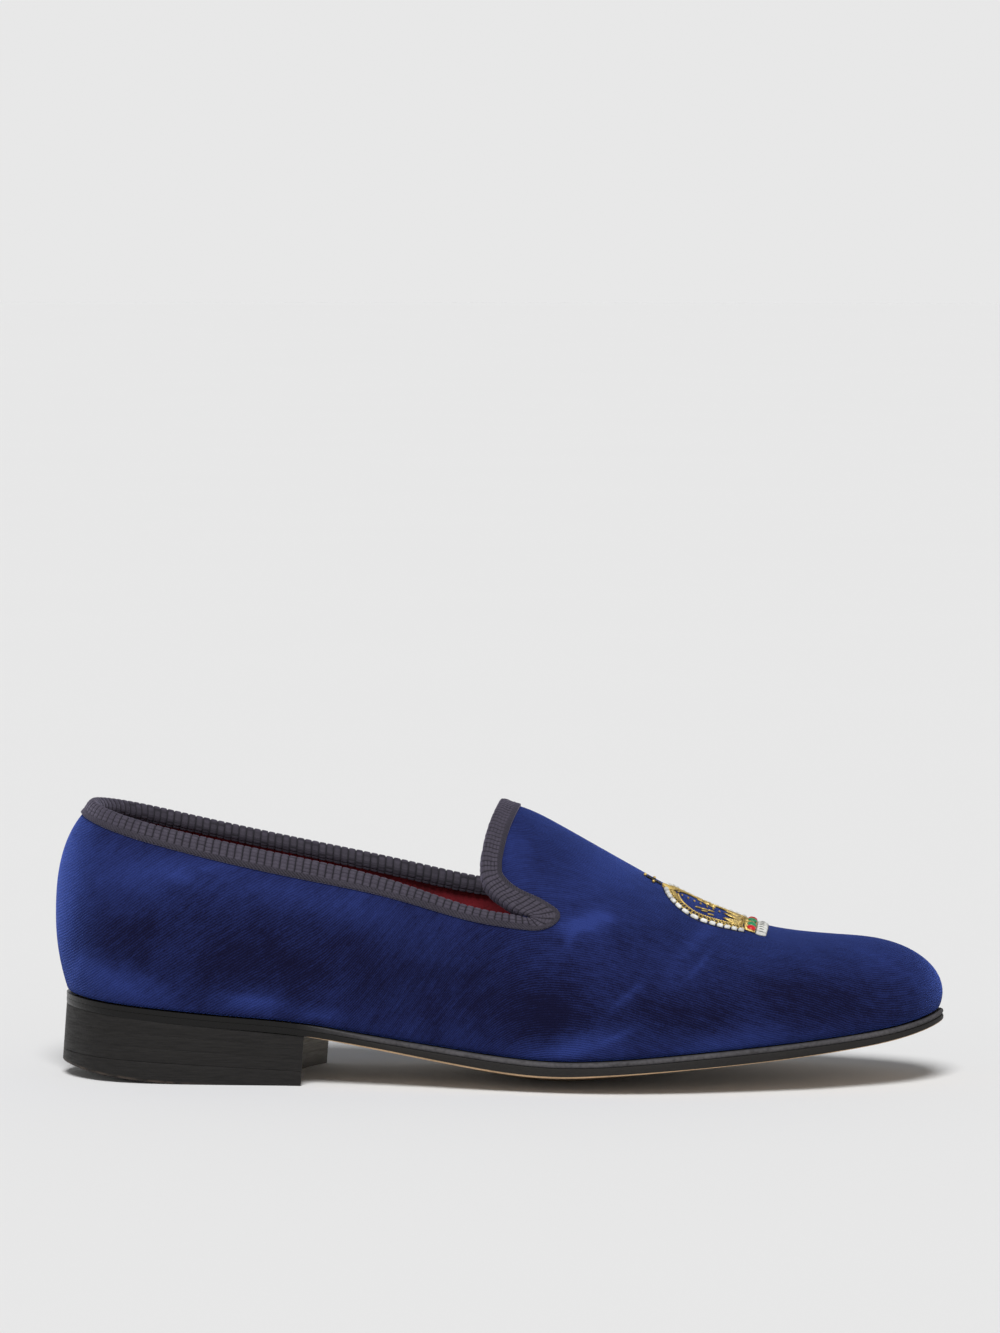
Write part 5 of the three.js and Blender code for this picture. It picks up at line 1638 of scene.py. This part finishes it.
class SLIPPER_OT_heel(bpy.types.Operator):
    """Stacked leather lifts and the top piece under them"""
    bl_idname = "slipper.heel"
    bl_label = "Build heel"

    def execute(self, context):
        last, colours = last_of(context), context.scene.slipper_colours
        stack = heel_material(colours, "Stacked leather", 0.0)
        for number in range(1, LIFTS + 1):
            under = heel_joint(last, (number - 1) / LIFTS, LIFT_SEAM)
            over = heel_joint(last, number / LIFTS, -LIFT_SEAM)
            name = f"heel_stack_{number}"
            mesh = heel_layer(last, name, under, over, LIFT_SOFT)
            new_piece(name, mesh, stack, (f"heel_lift_{number}",))
        mesh = heel_layer(last, "heel_tread_piece", tread, heel_joint(last, 0, -TREAD_SEAM), TREAD_SOFT)
        scuffed = heel_material(colours, "Top piece", 0.8)
        new_piece("heel_tread_piece", mesh, scuffed, ("heel_top_piece",))
        return {"FINISHED"}


# Stage

CAMERA_TARGET = Vector((0.0835, 0, 0.046))
CAMERA_DISTANCE = 2.2
CAMERA_YAW, CAMERA_RISE = np.radians(4.0), np.radians(6.4)
FOCAL_PIXELS, PHOTO_WIDTH, PHOTO_HEIGHT = 6468, 1000, 1333
TARGET_PIXEL = (499, 941)
KEY_FROM, KEY_ANGLE = (0.0, -0.75, 0.95), 24
SKY_FADE = (0.12, 0.55)
FLOOR_REACH, FLOOR_CHANGE = 20.0, 0.004


def camera_matrix():
    """Looks from the given side and height at the target, then turns so that it lies on its pixel."""
    back = Vector((np.sin(CAMERA_YAW) * np.cos(CAMERA_RISE), -np.cos(CAMERA_YAW) * np.cos(CAMERA_RISE),
                   np.sin(CAMERA_RISE)))
    ahead = -back
    right = ahead.cross(Vector((0, 0, 1))).normalized()
    up = right.cross(ahead)
    pitch = np.arctan((TARGET_PIXEL[1] - PHOTO_HEIGHT / 2) / FOCAL_PIXELS)
    aim = np.arctan((TARGET_PIXEL[0] - PHOTO_WIDTH / 2) / FOCAL_PIXELS)
    tipped = ahead * np.cos(pitch) + up * np.sin(pitch)
    above = right.cross(tipped)
    look = tipped * np.cos(aim) - right * np.sin(aim)
    side = look.cross(above)
    turn = Matrix((side, above, -look)).transposed().to_4x4()
    return Matrix.Translation(CAMERA_TARGET + back * CAMERA_DISTANCE) @ turn


def broad_light(name, way, power, angle):
    """Even soft light that comes from a direction and lights the whole floor alike."""
    light = bpy.data.lights.new(name, "SUN")
    light.energy = power
    light.angle = np.radians(angle)
    made = bpy.data.objects.new(name, light)
    bpy.context.scene.collection.objects.link(made)
    made.rotation_euler = (-Vector(way)).to_track_quat("-Z", "Y").to_euler()


class SLIPPER_PG_stage(bpy.types.PropertyGroup):
    backdrop: FloatProperty(name="Backdrop", description="Brightness of the horizon", default=0.806, min=0)
    floor: FloatProperty(name="Floor", description="Lightness of the floor", default=0.8, min=0, max=1,
                         subtype="FACTOR")
    zenith: FloatProperty(name="Overhead", description="Brightness straight above", default=0.16, min=0)
    key: FloatProperty(name="Key light", description="Strength of the soft light from above", default=3.1,
                       min=0)


class SLIPPER_OT_stage(bpy.types.Operator):
    """Camera, pale floor, soft sky and lights"""
    bl_idname = "slipper.stage"
    bl_label = "Set the stage"

    def execute(self, context):
        scene, settings = context.scene, context.scene.slipper_stage
        lens = bpy.data.cameras.new("Camera")
        lens.sensor_fit = "VERTICAL"
        lens.sensor_height = 36
        lens.lens = 36 * FOCAL_PIXELS / PHOTO_HEIGHT
        lens.clip_start, lens.clip_end = 0.05, 100
        camera = bpy.data.objects.new("Camera", lens)
        scene.collection.objects.link(camera)
        camera.matrix_world = camera_matrix()
        scene.camera = camera
        scene.view_settings.view_transform = "Standard"

        world = bpy.data.worlds.new("Soft sky")
        scene.world = world
        world.use_nodes = True
        tree = world.node_tree
        tree.nodes.clear()
        way = Value(add(tree, "ShaderNodeTexCoord").outputs["Generated"])
        strength = ranged(axes(way)[2], *SKY_FADE, settings.backdrop, settings.zenith)
        sky = add(tree, "ShaderNodeBackground", {"Color": (1, 1, 1, 1), "Strength": strength})
        add(tree, "ShaderNodeOutputWorld", {"Surface": Value(sky.outputs[0])})

        broad_light("Front softbox", KEY_FROM, settings.key, KEY_ANGLE)

        mesh = bpy.data.meshes.new("floor")
        corners = [(FLOOR_REACH * x, FLOOR_REACH * y, 0) for x, y in ((-1, -1), (1, -1), (1, 1), (-1, 1))]
        mesh.from_pydata(corners, [], [(0, 1, 2, 3)])
        floor = bpy.data.objects.new("floor", mesh)
        scene.collection.objects.link(floor)
        paper, shader, spot = new_material("Pale floor", 0.9, Specular_IOR_Level=0.1)
        tone = ranged(noise(spot, 0.3), 0, 1, settings.floor - FLOOR_CHANGE, settings.floor + FLOOR_CHANGE)
        grey = tone.through("ShaderNodeCombineColor", {"Red": tone, "Green": tone, "Blue": tone})
        feed(shader, Base_Color=grey)
        mesh.materials.append(paper)
        return {"FINISHED"}


SETTINGS = {
    "slipper_sizes": SLIPPER_PG_sizes,
    "slipper_colours": SLIPPER_PG_colours,
    "slipper_stage": SLIPPER_PG_stage,
}
OPERATORS = (SLIPPER_OT_upper, SLIPPER_OT_ribbon, SLIPPER_OT_crown, SLIPPER_OT_insole,
                   SLIPPER_OT_sole, SLIPPER_OT_heel, SLIPPER_OT_stage)


class SLIPPER_PT_sidebar(bpy.types.Panel):
    """Sizes, colours and the operators that build each piece"""
    bl_idname = "SLIPPER_PT_sidebar"
    bl_label = "Velvet slipper"
    bl_space_type = "VIEW_3D"
    bl_region_type = "UI"
    bl_category = "Slipper"

    def draw(self, context):
        for group in SETTINGS:
            settings = getattr(context.scene, group)
            box = self.layout.box()
            for name in settings.__annotations__:
                box.prop(settings, name)
        for operator in OPERATORS:
            self.layout.operator(operator.bl_idname)


CLASSES = (*SETTINGS.values(), *OPERATORS, SLIPPER_PT_sidebar)


def register():
    """Registers the classes and gives the scene its settings."""
    for each in CLASSES:
        bpy.utils.register_class(each)
    for name, group in SETTINGS.items():
        setattr(bpy.types.Scene, name, PointerProperty(type=group))


def unregister():
    """Takes the settings and the classes away again."""
    for name in SETTINGS:
        delattr(bpy.types.Scene, name)
    for each in reversed(CLASSES):
        bpy.utils.unregister_class(each)


def main():
    """Builds every piece and the stage."""
    register()
    bpy.ops.slipper.upper()
    bpy.ops.slipper.ribbon()
    bpy.ops.slipper.crown()
    bpy.ops.slipper.insole()
    bpy.ops.slipper.sole()
    bpy.ops.slipper.heel()
    bpy.ops.slipper.stage()


if __name__ == "__main__":
    main()
